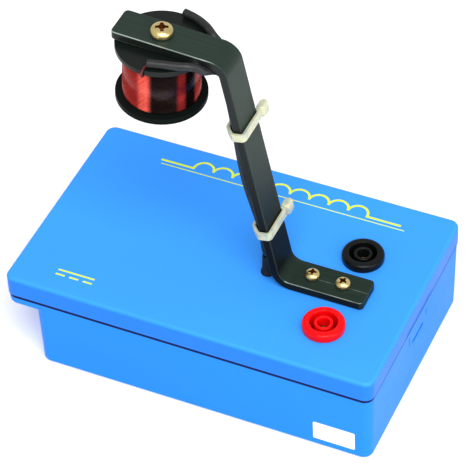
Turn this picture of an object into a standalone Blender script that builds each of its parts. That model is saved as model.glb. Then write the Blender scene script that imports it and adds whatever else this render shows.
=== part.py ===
"""Demonstration electromagnet: a small coil on a bent strip bracket, on a snap-closed plastic box.

All sizes are in metres, +Z is up, X runs along the box and Y across it.
The origin is the middle of the box's footprint, on the surface it stands on.
"""

import math

import bmesh
import bpy
from mathutils import Vector

MM = 0.001

# Clearances
SEAT_GAP = 0.3 * MM

# Box: a tray below and a lid with a skirt above
BOX_LENGTH = 138.0 * MM
BOX_WIDTH = 85.7 * MM
BASE_HEIGHT = 29.65 * MM
BASE_WALL = 2.6 * MM
BASE_FLOOR = 2.4 * MM
BASE_DRAFT = 0.4 * MM
BASE_EDGE_RADIUS = 1.4 * MM
BASE_SET_BACK = 0.25 * MM
BOX_CORNER_RADIUS = 3.6 * MM
LID_SKIRT = 8.4 * MM
LID_WALL = 2.0 * MM
LID_PLATE = 2.4 * MM
LID_EDGE_RADIUS = 1.35 * MM
INNER_CORNER_RADIUS = 2.2 * MM

# The left end of the tray is cut back under a ledge
STEP_LENGTH = 10.6 * MM
LEDGE_HEIGHT = 4.5 * MM
LEDGE_WALL = 2.0 * MM
LEDGE_EDGE_RADIUS = 1.9 * MM
LEDGE_FILLET = 2.0 * MM

# Rim inside the tray that the lid's skirt drops over
RIM_THICKNESS = 1.3 * MM
RIM_RISE = 2.6 * MM
RIM_ROOT = 3.0 * MM
FLOOR_FILLET = 1.0 * MM
LID_INNER_FILLET = 0.8 * MM

# Snap latch in the right wall
LATCH_Y = 1.7 * MM
LATCH_WIDTH = 15.9 * MM
LATCH_SLOT_WIDTH = 0.6 * MM
LATCH_SLOT_HEIGHT = 3.8 * MM
LATCH_SLOT_DROP = 3.6 * MM
WINDOW_LENGTH = 10.5 * MM
WINDOW_HEIGHT = 1.4 * MM
WINDOW_DROP = 8.6 * MM
PRY_WIDTH = 24.0 * MM
PRY_DEPTH = 1.1 * MM
PRY_HEIGHT = 0.7 * MM
SKIRT_GROOVE_RISE = 0.9 * MM
SKIRT_GROOVE_HEIGHT = 0.5 * MM
SKIRT_GROOVE_DEPTH = 0.5 * MM
SNAP_WIDTH = 9.2 * MM
SNAP_THICKNESS = 1.6 * MM
SNAP_HOOK_HEIGHT = 0.8 * MM

# Four millimetre safety sockets
SOCKET_INSET = 25.1 * MM
BLACK_SOCKET_Y = 12.4 * MM
RED_SOCKET_Y = -23.5 * MM
SOCKET_FLANGE_DIAMETER = 15.0 * MM
SOCKET_FLANGE_HEIGHT = 2.9 * MM
SOCKET_EDGE_RADIUS = 1.2 * MM
SOCKET_GROOVE_DIAMETER = 9.8 * MM
SOCKET_GROOVE_DEPTH = 15.0 * MM
SOCKET_RING_DIAMETER = 6.6 * MM
SOCKET_RING_DROP = 0.5 * MM
SOCKET_MOUTH_DIAMETER = 4.4 * MM
SOCKET_LIP = 4.0 * MM
SOCKET_BARREL_DIAMETER = 11.8 * MM
SOCKET_BARREL_LENGTH = 19.6 * MM
SOCKET_FLOOR = 2.0 * MM
CONTACT_BORE_DIAMETER = 4.0 * MM
CONTACT_WALL = 0.6 * MM
CONTACT_FLOOR = 2.3 * MM
CONTACT_PIN_DIAMETER = 2.4 * MM
CONTACT_PIN_LENGTH = 3.4 * MM
SOCKET_NUT_FLATS = 15.0 * MM
SOCKET_NUT_HEIGHT = 2.5 * MM

# Bracket: one flat strip bent twice
STRIP_WIDTH = 12.3 * MM
STRIP_THICKNESS = 3.05 * MM
BRACKET_Y = -5.5 * MM
BRACKET_INSET = 46.2 * MM
FOOT_LENGTH = 30.4 * MM
ARM_LENGTH = 93.1 * MM
TOP_LENGTH = 40.9 * MM
ARM_LEAN = math.radians(10.9)
TOP_RISE = math.radians(3.3)
FOOT_BEND_RADIUS = 4.5 * MM
TOP_BEND_RADIUS = 7.0 * MM
STRIP_CORNER_RADIUS = 1.6 * MM
STRIP_EDGE_SOFTENING = 0.25 * MM

# Screws
FOOT_SCREW_LEFT = 9.5 * MM
FOOT_SCREW_SPACING = 11.35 * MM
FOOT_SCREW_DIAMETER = 2.9 * MM
FOOT_SCREW_HEAD = 5.4 * MM
FOOT_SCREW_HEAD_HEIGHT = 2.3 * MM
FOOT_SCREW_TAIL = 0.9 * MM
FOOT_WASHER_DIAMETER = 7.0 * MM
FOOT_WASHER_THICKNESS = 0.5 * MM
FOOT_NUT_FLATS = 5.5 * MM
FOOT_NUT_HEIGHT = 2.4 * MM
COIL_SCREW_DIAMETER = 3.9 * MM
COIL_SCREW_HEAD = 7.9 * MM
COIL_SCREW_HEAD_HEIGHT = 2.8 * MM
COIL_SCREW_GRIP = 13.0 * MM
CROWN_SHARE = 0.8
CROWN_SQUARENESS = 2.6
RECESS_DEPTH_SHARE = 0.6
RECESS_REACH_SHARE = 0.33
RECESS_WIDTH_SHARE = 0.17
TIP_CHAMFER_SHARE = 0.12

# Coil, hung under the top of the bracket
COIL_REACH = 25.0 * MM
BOBBIN_DIAMETER = 31.2 * MM
BOBBIN_HEIGHT = 23.0 * MM
TOP_FLANGE = 2.0 * MM
BOTTOM_FLANGE = 2.2 * MM
FLANGE_EDGE_RADIUS = 0.25 * MM
HUB_WALL = 1.1 * MM
CORE_DIAMETER = 10.0 * MM
CORE_PROUD = 1.0 * MM
CORE_CHAMFER = 0.5 * MM
CORE_HOLE_SPARE = 2.0 * MM
WINDING_DIAMETER = 26.4 * MM
WIRE_DIAMETER = 0.5 * MM

# Sleeved leads, cable ties and the bush in the lid
LEAD_DIAMETER = 2.4 * MM
LEAD_SPACING = 3.0 * MM
LEAD_PAIR_OFFSET = 0.9 * MM
LEAD_BULGE = 1.3 * MM
UPPER_TIE_HEIGHT = 64.0 * MM
LOWER_TIE_HEIGHT = 20.9 * MM
TIE_WIDTH = 2.9 * MM
TIE_THICKNESS = 1.1 * MM
TIE_HEAD_LENGTH = 4.4 * MM
TIE_HEAD_WIDTH = 4.2 * MM
TIE_HEAD_THICKNESS = 3.1 * MM
TIE_HEAD_ROUNDING = 0.7 * MM
BUSH_BEHIND_BEND = 6.9 * MM
BUSH_OFFSET = 0.7 * MM
BUSH_WALL = 0.5 * MM
BUSH_COLLAR_HEIGHT = 6.5 * MM
BUSH_COLLAR_WALL = 0.4 * MM
BUSH_FLANGE_OVERHANG = 0.5 * MM
BUSH_FLANGE_HEIGHT = 1.1 * MM

# Courses of the sleeves over the bobbin's top flange: shares of its radius along the strip and across it
FRONT_LEAD_COURSE = ((0.06, -0.85), (0.31, -0.775), (0.66, -0.68))
BACK_LEAD_COURSE = ((0.09, 0.94), (0.31, 0.895), (0.53, 0.82), (0.74, 0.7))
LEADS_SETTLE_RISE = 1.5 * MM
TAIL_LEAN = 1.0 * MM

# Fineness of the round shapes
ROUND_STEPS = 36
FINE_STEPS = 56
SMALL_STEPS = 20
STRIP_BEND_STEPS = 8
LEAD_STEP = 3.4 * MM
TAIL_STEP = 0.8 * MM
ARC_STEPS = 6

# Heights that follow from the sizes above
LID_BOTTOM = BASE_HEIGHT + SEAT_GAP
LID_TOP = LID_BOTTOM + LID_SKIRT
LID_UNDERSIDE = LID_TOP - LID_PLATE
FOOT_UNDERSIDE = LID_TOP + SEAT_GAP
FOOT_TOP = FOOT_UNDERSIDE + STRIP_THICKNESS
HALF_LENGTH = BOX_LENGTH / 2
HALF_WIDTH = BOX_WIDTH / 2
SOCKET_X = HALF_LENGTH - SOCKET_INSET
FOOT_BEND_X = HALF_LENGTH - BRACKET_INSET
LEAD_RADIUS = LEAD_DIAMETER / 2
LEAD_PAIR_Y = BRACKET_Y - LEAD_PAIR_OFFSET
BUSH_X = FOOT_BEND_X - BUSH_BEHIND_BEND
BUSH_Y = BRACKET_Y + BUSH_OFFSET
BUSH_SPREAD = LEAD_DIAMETER + SEAT_GAP
BUSH_BORE_RADIUS = LEAD_RADIUS + SEAT_GAP
BUSH_NECK_RADIUS = BUSH_BORE_RADIUS + BUSH_WALL
BUSH_HOLE_RADIUS = BUSH_NECK_RADIUS + SEAT_GAP
CORE_RADIUS = CORE_DIAMETER / 2
HUB_BORE_RADIUS = CORE_RADIUS + SEAT_GAP
HUB_RADIUS = HUB_BORE_RADIUS + HUB_WALL
BOBBIN_RADIUS = BOBBIN_DIAMETER / 2
WINDING_RADIUS = WINDING_DIAMETER / 2
WIRE_RADIUS = WIRE_DIAMETER / 2
STRIP_FRONT = BRACKET_Y - STRIP_WIDTH / 2
STRIP_BACK = BRACKET_Y + STRIP_WIDTH / 2

# Bracket frame: the arm rises from the foot's bend and leans to -X
ARM_ALONG = Vector((-math.sin(ARM_LEAN), 0, math.cos(ARM_LEAN)))
ARM_OUT = Vector((math.cos(ARM_LEAN), 0, math.sin(ARM_LEAN)))
TOP_ALONG = Vector((-math.cos(TOP_RISE), 0, math.sin(TOP_RISE)))
TOP_DOWN = Vector((-math.sin(TOP_RISE), 0, -math.cos(TOP_RISE)))
FOOT_CORNER = Vector((FOOT_BEND_X, 0, FOOT_TOP))
TOP_CORNER = FOOT_CORNER + ARM_ALONG * ARM_LENGTH
COIL_TOP = TOP_CORNER + TOP_ALONG * COIL_REACH + Vector((0, BRACKET_Y, 0))
COIL_SEAT = COIL_TOP + TOP_DOWN * STRIP_THICKNESS


def start_empty():
    """Remove what the scene holds and make the two collections."""
    for thing in list(bpy.data.objects):
        bpy.data.objects.remove(thing, do_unlink=True)
    made = []
    for name in ("demonstration_electromagnet", "cutters"):
        group = bpy.data.collections.new(name)
        bpy.context.scene.collection.children.link(group)
        made.append(group)
    return made


PARTS, CUTTERS = start_empty()


def finish(name, colour, roughness, metallic=0.0):
    """A plain surface finish for one piece."""
    material = bpy.data.materials.new(name)
    material.use_nodes = True
    shader = material.node_tree.nodes["Principled BSDF"]
    shader.inputs["Base Color"].default_value = (*colour, 1.0)
    shader.inputs["Roughness"].default_value = roughness
    shader.inputs["Metallic"].default_value = metallic
    material.diffuse_color = (*colour, 1.0)
    return material


BLUE = (0.055, 0.32, 0.92)
BLACK_PAINT = (0.028, 0.036, 0.034)
BLACK_PLASTIC = (0.018, 0.02, 0.02)
BRASS_PLATE = (0.78, 0.62, 0.33)


def add(name, data, material, group=None):
    """Put an object with this data and finish in a collection."""
    thing = bpy.data.objects.new(name, data)
    (group or PARTS).objects.link(thing)
    if material is not None:
        data.materials.append(material)
    return thing


def as_cutter(thing):
    """Hide a shape that only cuts or joins another."""
    thing.hide_render = True
    thing.display_type = "WIRE"
    return thing


def combine(target, other, operation):
    """Cut or join one solid with another by a live Boolean."""
    change = target.modifiers.new(other.name, "BOOLEAN")
    change.object = other
    change.operation = operation
    change.solver = "EXACT"


def cut(target, other):
    combine(target, other, "DIFFERENCE")


def join(target, other):
    combine(target, other, "UNION")


def block_mesh(name, low, high, corner=0.0, top=0.0, bottom=0.0, draft=0.0, steps=ARC_STEPS):
    """A block with rounded upright corners, rounded rims and walls that draw in to the bottom."""
    shape = bmesh.new()
    bmesh.ops.create_cube(shape, size=1.0)
    low, high = Vector(low), Vector(high)
    for vertex in shape.verts:
        side = [0 if value < 0 else 1 for value in vertex.co]
        for axis in range(3):
            vertex.co[axis] = high[axis] if side[axis] else low[axis]
        if not side[2]:
            vertex.co.x += draft * (1 - 2 * side[0])
            vertex.co.y += draft * (1 - 2 * side[1])
    if corner:
        upright = [edge for edge in shape.edges
                   if abs(edge.verts[0].co.z - edge.verts[1].co.z) > (high.z - low.z) / 2]
        bmesh.ops.bevel(shape, geom=upright, offset=corner, segments=steps, profile=0.5, affect="EDGES", material=-1)
    for level, radius in ((high.z, top), (low.z, bottom)):
        if radius:
            rim = [edge for edge in shape.edges if all(abs(v.co.z - level) < 1e-6 for v in edge.verts)]
            bmesh.ops.bevel(shape, geom=rim, offset=radius, segments=3, profile=0.5, affect="EDGES", material=-1)
    mesh = bpy.data.meshes.new(name)
    shape.to_mesh(mesh)
    shape.free()
    return mesh


def cutting_block(name, low, high, **rounding):
    return as_cutter(add(name, block_mesh(name, low, high, **rounding), None, CUTTERS))


def turned(name, profile, material, steps=ROUND_STEPS, closed=False, group=None):
    """Turn a profile of (radius, height) points about Z. Its outer side runs top to bottom."""
    mesh = bpy.data.meshes.new(name)
    count = len(profile)
    edges = [(i, i + 1) for i in range(count - 1)]
    if closed:
        edges.append((count - 1, 0))
    mesh.from_pydata([(radius, 0, height) for radius, height in profile], edges, [])
    thing = add(name, mesh, material, group)
    screw = thing.modifiers.new("turn", "SCREW")
    screw.axis = "Z"
    screw.angle = math.tau
    screw.steps = steps
    screw.render_steps = steps
    screw.use_merge_vertices = True
    screw.merge_threshold = 0.00001
    screw.use_smooth_shade = True
    return thing


def oval_ring(name, profile, spread, material):
    """A closed profile of (radius, height) points carried round a path with two straight sides."""
    shape = bmesh.new()
    corners = [shape.verts.new((radius, -spread / 2, height)) for radius, height in profile]
    ring = [shape.edges.new(pair) for pair in zip(corners, corners[1:] + corners[:1])]
    for side in (1, -1):
        drawn = bmesh.ops.extrude_edge_only(shape, edges=ring)["geom"]
        corners = [item for item in drawn if isinstance(item, bmesh.types.BMVert)]
        bmesh.ops.translate(shape, vec=(0, side * spread, 0), verts=corners)
        ring = [item for item in drawn if isinstance(item, bmesh.types.BMEdge)
                and item.verts[0] in corners and item.verts[1] in corners]
        turned_end = bmesh.ops.spin(shape, geom=ring + corners, cent=(0, side * spread / 2, 0), axis=(0, 0, 1),
                                    angle=math.pi, steps=SMALL_STEPS // 2)["geom_last"]
        ring = [item for item in turned_end if isinstance(item, bmesh.types.BMEdge)]
    bmesh.ops.remove_doubles(shape, verts=shape.verts, dist=0.001 * MM)
    bmesh.ops.dissolve_degenerate(shape, edges=shape.edges, dist=0.001 * MM)
    bmesh.ops.recalc_face_normals(shape, faces=shape.faces)
    mesh = bpy.data.meshes.new(name)
    shape.to_mesh(mesh)
    shape.free()
    return add(name, mesh, material)


def drill(name, radius, low, high, steps=SMALL_STEPS):
    """An upright round cutter from one height to another."""
    profile = [(0, high), (radius, high), (radius, low), (0, low)]
    return as_cutter(turned(name, profile, None, steps, group=CUTTERS))


def arc(centre, radius, start, end, steps):
    """Points on an arc, angles in degrees."""
    points = []
    for i in range(steps + 1):
        angle = math.radians(start + (end - start) * i / steps)
        points.append((centre[0] + radius * math.cos(angle), centre[1] + radius * math.sin(angle)))
    return points


def filleted(corners, radii, steps):
    """A path of Vectors whose inner corners are rounded to the given radii."""
    path = [corners[0]]
    for before, corner, after, radius in zip(corners, corners[1:], corners[2:], radii):
        back = (before - corner).normalized()
        ahead = (after - corner).normalized()
        half = back.angle(ahead) / 2
        centre = corner + (back + ahead).normalized() * (radius / math.sin(half))
        start = corner + back * (radius / math.tan(half)) - centre
        end = corner + ahead * (radius / math.tan(half)) - centre
        for i in range(steps + 1):
            path.append(centre + start.normalized().slerp(end.normalized(), i / steps) * radius)
    path.append(corners[-1])
    return path


def smooth_path(points, spacing):
    """Even points on a smooth curve through a list of Vectors."""
    ends = [points[0] * 2 - points[1]] + points + [points[-1] * 2 - points[-2]]
    path = []
    for a, b, c, d in zip(ends, ends[1:], ends[2:], ends[3:]):
        pieces = max(2, round((c - b).length / spacing))
        for i in range(pieces):
            t = i / pieces
            path.append(0.5 * (2 * b + (c - a) * t + (2 * a - 5 * b + 4 * c - d) * t ** 2
                               + (3 * b - a - 3 * c + d) * t ** 3))
    path.append(points[-1])
    return path


def tube(name, path, radius, material):
    """A round wire or sleeve along a path."""
    curve = bpy.data.curves.new(name, "CURVE")
    curve.dimensions = "3D"
    curve.bevel_depth = radius
    curve.bevel_resolution = 2
    curve.use_fill_caps = True
    spline = curve.splines.new("POLY")
    spline.points.add(len(path) - 1)
    for point, place in zip(spline.points, path):
        point.co = (*place, 1.0)
    return add(name, curve, material)


def ring_plate(name, outline, hole_radius, thickness, material, steps=SMALL_STEPS):
    """A flat plate of the given outline with a round hole, its middle at the object's origin."""
    curve = bpy.data.curves.new(name, "CURVE")
    curve.dimensions = "2D"
    curve.fill_mode = "BOTH"
    curve.extrude = thickness / 2
    hole = arc((0, 0), hole_radius, 0, 360 * (steps - 1) / steps, steps - 1)
    for points in (outline, hole):
        spline = curve.splines.new("POLY")
        spline.use_cyclic_u = True
        spline.points.add(len(points) - 1)
        for point, place in zip(spline.points, points):
            point.co = (*place, 0.0, 1.0)
    return add(name, curve, material)


def hexagon(flats):
    radius = flats / 2 / math.cos(math.pi / 6)
    return arc((0, 0), radius, 0, 300, 5)


def circle_outline(radius, steps=SMALL_STEPS):
    return arc((0, 0), radius, 0, 360 * (steps - 1) / steps, steps - 1)


def arm_point(height, out, y):
    """A point by its distance up the arm, its distance out of the arm's outer face and its y."""
    return FOOT_CORNER + ARM_ALONG * height + ARM_OUT * out + Vector((0, y, 0))


def coil_point(x, y, height):
    """A point by its place about the coil's axis, heights from the strip's underside."""
    return COIL_SEAT - TOP_ALONG * x + Vector((0, y, 0)) - TOP_DOWN * height


def make_base():
    """The tray: drafted walls, a ledge over the cut-back left end, a rim for the lid, a snap latch."""
    outer_x = HALF_LENGTH - BASE_SET_BACK
    outer_y = HALF_WIDTH - BASE_SET_BACK
    body_left = -HALF_LENGTH + STEP_LENGTH
    ledge_bottom = BASE_HEIGHT - LEDGE_HEIGHT
    overlap = BOX_CORNER_RADIUS * 2
    high = BASE_HEIGHT + RIM_RISE * 2
    plastic = finish("base_blue", BLUE, 0.38)
    mesh = block_mesh("base", (body_left, -outer_y, 0), (outer_x, outer_y, BASE_HEIGHT),
                      corner=BOX_CORNER_RADIUS, bottom=BASE_EDGE_RADIUS, draft=BASE_DRAFT)
    base = add("base", mesh, plastic)

    hair = 0.02 * MM
    ledge = cutting_block("ledge", (-outer_x, -outer_y + hair, ledge_bottom),
                          (body_left + overlap, outer_y - hair, BASE_HEIGHT - hair),
                          corner=BOX_CORNER_RADIUS, bottom=LEDGE_EDGE_RADIUS)
    join(base, ledge)

    fillet = bmesh.new()
    inset = 0.5 * MM
    corner = [(body_left - LEDGE_FILLET, ledge_bottom), (body_left - LEDGE_FILLET, ledge_bottom + inset),
              (body_left + inset + BASE_DRAFT, ledge_bottom + inset),
              (body_left + inset + BASE_DRAFT, ledge_bottom - LEDGE_FILLET),
              (body_left, ledge_bottom - LEDGE_FILLET)]
    hollow = arc((body_left - LEDGE_FILLET, ledge_bottom - LEDGE_FILLET), LEDGE_FILLET, 0, 90, 4)[1:-1]
    reach = outer_y - BOX_CORNER_RADIUS
    outline = [fillet.verts.new((x, -reach, z)) for x, z in corner + hollow]
    face = fillet.faces.new(outline)
    swept = bmesh.ops.extrude_face_region(fillet, geom=[face])["geom"]
    bmesh.ops.translate(fillet, vec=(0, 2 * reach, 0),
                        verts=[v for v in swept if isinstance(v, bmesh.types.BMVert)])
    bmesh.ops.recalc_face_normals(fillet, faces=fillet.faces)
    fillet_mesh = bpy.data.meshes.new("ledge_fillet")
    fillet.to_mesh(fillet_mesh)
    fillet.free()
    join(base, as_cutter(add("ledge_fillet", fillet_mesh, None, CUTTERS)))

    inner_x = outer_x - BASE_WALL
    inner_y = outer_y - BASE_WALL
    cut(base, cutting_block("tray_hollow", (body_left + BASE_WALL, -inner_y, BASE_FLOOR),
                            (inner_x, inner_y, high), corner=INNER_CORNER_RADIUS,
                            bottom=FLOOR_FILLET, draft=BASE_DRAFT))
    cut(base, cutting_block("ledge_hollow", (-outer_x + BASE_WALL, -inner_y + hair, ledge_bottom + LEDGE_WALL),
                            (body_left + overlap, inner_y - hair, high), corner=INNER_CORNER_RADIUS))

    rim_x = HALF_LENGTH - LID_WALL - SEAT_GAP
    rim_y = HALF_WIDTH - LID_WALL - SEAT_GAP
    rim_corner = BOX_CORNER_RADIUS - LID_WALL
    rim = add("rim", block_mesh("rim", (-rim_x, -rim_y, BASE_HEIGHT - RIM_ROOT),
                                (rim_x, rim_y, BASE_HEIGHT + RIM_RISE), corner=rim_corner), None, CUTTERS)
    as_cutter(rim)
    cut(rim, cutting_block("rim_hollow", (-rim_x + RIM_THICKNESS, -rim_y + RIM_THICKNESS, 0),
                           (rim_x - RIM_THICKNESS, rim_y - RIM_THICKNESS, high), corner=rim_corner / 2))
    notch = SNAP_WIDTH / 2 + 2 * SEAT_GAP
    cut(rim, cutting_block("rim_notch", (inner_x - 2 * RIM_THICKNESS, LATCH_Y - notch, 0),
                           (HALF_LENGTH, LATCH_Y + notch, high)))
    join(base, rim)

    wall_in = inner_x - BASE_DRAFT * 2
    wall_out = HALF_LENGTH + SEAT_GAP
    slot_top = BASE_HEIGHT - LATCH_SLOT_DROP
    for side in (-1, 1):
        middle = LATCH_Y + side * LATCH_WIDTH / 2
        cut(base, cutting_block("latch_slot",
                                (wall_in, middle - LATCH_SLOT_WIDTH / 2, slot_top - LATCH_SLOT_HEIGHT),
                                (wall_out, middle + LATCH_SLOT_WIDTH / 2, slot_top)))
    window_z = BASE_HEIGHT - WINDOW_DROP
    cut(base, cutting_block("latch_window",
                            (wall_in, LATCH_Y - WINDOW_LENGTH / 2, window_z - WINDOW_HEIGHT / 2),
                            (wall_out, LATCH_Y + WINDOW_LENGTH / 2, window_z + WINDOW_HEIGHT / 2)))
    cut(base, cutting_block("pry_recess",
                            (outer_x - PRY_DEPTH, LATCH_Y - PRY_WIDTH / 2, BASE_HEIGHT - PRY_HEIGHT),
                            (wall_out, LATCH_Y + PRY_WIDTH / 2, high)))


def make_lid():
    """The lid: a skirted shell with a snap hook inside, drilled for everything it carries."""
    plastic = finish("lid_blue", BLUE, 0.36)
    lid = add("lid", block_mesh("lid", (-HALF_LENGTH, -HALF_WIDTH, LID_BOTTOM),
                                (HALF_LENGTH, HALF_WIDTH, LID_TOP),
                                corner=BOX_CORNER_RADIUS, top=LID_EDGE_RADIUS), plastic)
    inner_x = HALF_LENGTH - LID_WALL
    inner_y = HALF_WIDTH - LID_WALL
    cut(lid, cutting_block("lid_hollow", (-inner_x, -inner_y, 0), (inner_x, inner_y, LID_UNDERSIDE),
                           corner=BOX_CORNER_RADIUS - LID_WALL, top=LID_INNER_FILLET))

    wall_inside = HALF_LENGTH - BASE_SET_BACK - BASE_WALL - BASE_DRAFT
    snap_out = wall_inside - SEAT_GAP
    hook_out = HALF_LENGTH - BASE_SET_BACK - BASE_WALL / 2
    hook_z = BASE_HEIGHT - WINDOW_DROP
    snap = cutting_block("snap",
                         (snap_out - SNAP_THICKNESS, LATCH_Y - SNAP_WIDTH / 2, hook_z - SNAP_HOOK_HEIGHT * 2),
                         (snap_out, LATCH_Y + SNAP_WIDTH / 2, LID_UNDERSIDE + LID_PLATE / 2))
    join(lid, snap)
    join(lid, cutting_block("snap_hook", (snap_out - SNAP_THICKNESS / 2, LATCH_Y - SNAP_WIDTH / 2 + SEAT_GAP,
                                          hook_z - SNAP_HOOK_HEIGHT / 2),
                            (hook_out, LATCH_Y + SNAP_WIDTH / 2 - SEAT_GAP, hook_z + SNAP_HOOK_HEIGHT / 2)))

    groove_z = LID_BOTTOM + SKIRT_GROOVE_RISE
    cut(lid, cutting_block("skirt_groove",
                           (HALF_LENGTH - SKIRT_GROOVE_DEPTH, LATCH_Y - PRY_WIDTH / 2, groove_z),
                           (HALF_LENGTH + SEAT_GAP, LATCH_Y + PRY_WIDTH / 2,
                            groove_z + SKIRT_GROOVE_HEIGHT)))
    holes = [(SOCKET_X, y, SOCKET_BARREL_DIAMETER / 2 + SEAT_GAP) for y in (BLACK_SOCKET_Y, RED_SOCKET_Y)]
    holes += [(x, BRACKET_Y, FOOT_SCREW_DIAMETER / 2 + SEAT_GAP) for x in foot_screw_places()]
    low = LID_UNDERSIDE - LID_PLATE
    high = LID_TOP + LID_PLATE
    for x, y, radius in holes:
        hole = drill("lid_hole", radius, low, high, SMALL_STEPS)
        hole.location = (x, y, 0)
        cut(lid, hole)
    half_long = BUSH_HOLE_RADIUS + BUSH_SPREAD / 2
    cut(lid, cutting_block("bush_hole", (BUSH_X - BUSH_HOLE_RADIUS, BUSH_Y - half_long, low),
                           (BUSH_X + BUSH_HOLE_RADIUS, BUSH_Y + half_long, high),
                           corner=BUSH_HOLE_RADIUS * 0.98))


def foot_screw_places():
    first = FOOT_BEND_X + FOOT_SCREW_LEFT
    return first, first + FOOT_SCREW_SPACING


def make_bracket():
    """One strip: foot on the lid, leaning arm, top that rises a little to its free end."""
    corners = [FOOT_CORNER + Vector((FOOT_LENGTH, 0, 0)), FOOT_CORNER, TOP_CORNER,
               TOP_CORNER + TOP_ALONG * TOP_LENGTH]
    path = filleted(corners, (FOOT_BEND_RADIUS, TOP_BEND_RADIUS), STRIP_BEND_STEPS)
    sheet = bmesh.new()
    rows = [[sheet.verts.new((p.x, y, p.z)) for y in (STRIP_FRONT, STRIP_BACK)] for p in path]
    for (a, b), (c, d) in zip(rows, rows[1:]):
        sheet.faces.new((a, b, d, c))
    bmesh.ops.bevel(sheet, geom=rows[0] + rows[-1], offset=STRIP_CORNER_RADIUS, segments=3, profile=0.5,
                    affect="VERTICES", material=-1)
    mesh = bpy.data.meshes.new("bracket")
    sheet.to_mesh(mesh)
    sheet.free()
    bracket = add("bracket", mesh, finish("bracket_black", BLACK_PAINT, 0.42, 0.1))
    wall = bracket.modifiers.new("thickness", "SOLIDIFY")
    wall.thickness = STRIP_THICKNESS
    wall.offset = -1
    wall.use_even_offset = True
    soft = bracket.modifiers.new("edges", "BEVEL")
    soft.width = STRIP_EDGE_SOFTENING
    soft.segments = 2
    soft.limit_method = "ANGLE"
    soft.angle_limit = math.radians(50)
    for x in foot_screw_places():
        hole = drill("foot_hole", FOOT_SCREW_DIAMETER / 2 + SEAT_GAP, -STRIP_THICKNESS * 2, STRIP_THICKNESS)
        hole.location = (x, BRACKET_Y, FOOT_TOP)
        cut(bracket, hole)
    hole = drill("coil_hole", COIL_SCREW_DIAMETER / 2 + SEAT_GAP, -STRIP_THICKNESS * 2, STRIP_THICKNESS)
    hole.location = COIL_TOP
    hole.rotation_euler.y = TOP_RISE
    cut(bracket, hole)


def pan_screw(name, head, head_height, shank, length, material):
    """A pan head screw, the underside of its head at the object's origin, with a cross recess."""
    crown = head_height * CROWN_SHARE
    squareness = 2 / CROWN_SQUARENESS
    profile = [(0, head_height)]
    for i in range(1, ARC_STEPS):
        angle = math.pi / 2 * i / ARC_STEPS
        profile.append((head / 2 * math.sin(angle) ** squareness,
                        head_height - crown + crown * math.cos(angle) ** squareness))
    profile.append((head / 2, head_height - crown))
    tip = shank * TIP_CHAMFER_SHARE
    profile += [(head / 2, 0), (shank / 2, 0), (shank / 2, -length + tip), (shank / 2 - tip, -length),
                (0, -length)]
    screw = turned(name, profile, material, SMALL_STEPS)
    floor = head_height * (1 - RECESS_DEPTH_SHARE)
    reach = head * RECESS_REACH_SHARE
    half = head * RECESS_WIDTH_SHARE / 2
    for turn in (0, 90):
        bar = block_mesh("recess", (-reach, -half, floor), (reach, half, head_height * 1.5), draft=half / 2)
        blade = as_cutter(add("recess", bar, None, CUTTERS))
        blade.rotation_euler.z = math.radians(turn)
        blade.parent = screw
        cut(screw, blade)
    return screw


def make_foot_screws():
    """Two screws hold the foot to the lid, each with a washer and a nut below."""
    washer_top = LID_UNDERSIDE - SEAT_GAP
    nut_top = washer_top - FOOT_WASHER_THICKNESS - SEAT_GAP
    head_seat = FOOT_TOP + SEAT_GAP
    length = head_seat - nut_top + FOOT_NUT_HEIGHT + FOOT_SCREW_TAIL
    hole = FOOT_SCREW_DIAMETER / 2 + SEAT_GAP
    for label, x, turn in zip(("left", "right"), foot_screw_places(), (12, -20)):
        plating = finish("foot_screw_plating_" + label, BRASS_PLATE, 0.3, 1.0)
        screw = pan_screw("foot_screw_" + label, FOOT_SCREW_HEAD, FOOT_SCREW_HEAD_HEIGHT,
                          FOOT_SCREW_DIAMETER, length, plating)
        screw.location = (x, BRACKET_Y, head_seat)
        screw.rotation_euler.z = math.radians(turn)
        steel = finish("foot_washer_plating_" + label, (0.6, 0.6, 0.58), 0.35, 1.0)
        washer = ring_plate("foot_washer_" + label, circle_outline(FOOT_WASHER_DIAMETER / 2), hole,
                            FOOT_WASHER_THICKNESS, steel)
        washer.location = (x, BRACKET_Y, washer_top - FOOT_WASHER_THICKNESS / 2)
        nut = ring_plate("foot_nut_" + label, hexagon(FOOT_NUT_FLATS), hole, FOOT_NUT_HEIGHT,
                         finish("foot_nut_plating_" + label, (0.6, 0.6, 0.58), 0.35, 1.0))
        nut.location = (x, BRACKET_Y, nut_top - FOOT_NUT_HEIGHT / 2)


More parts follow.
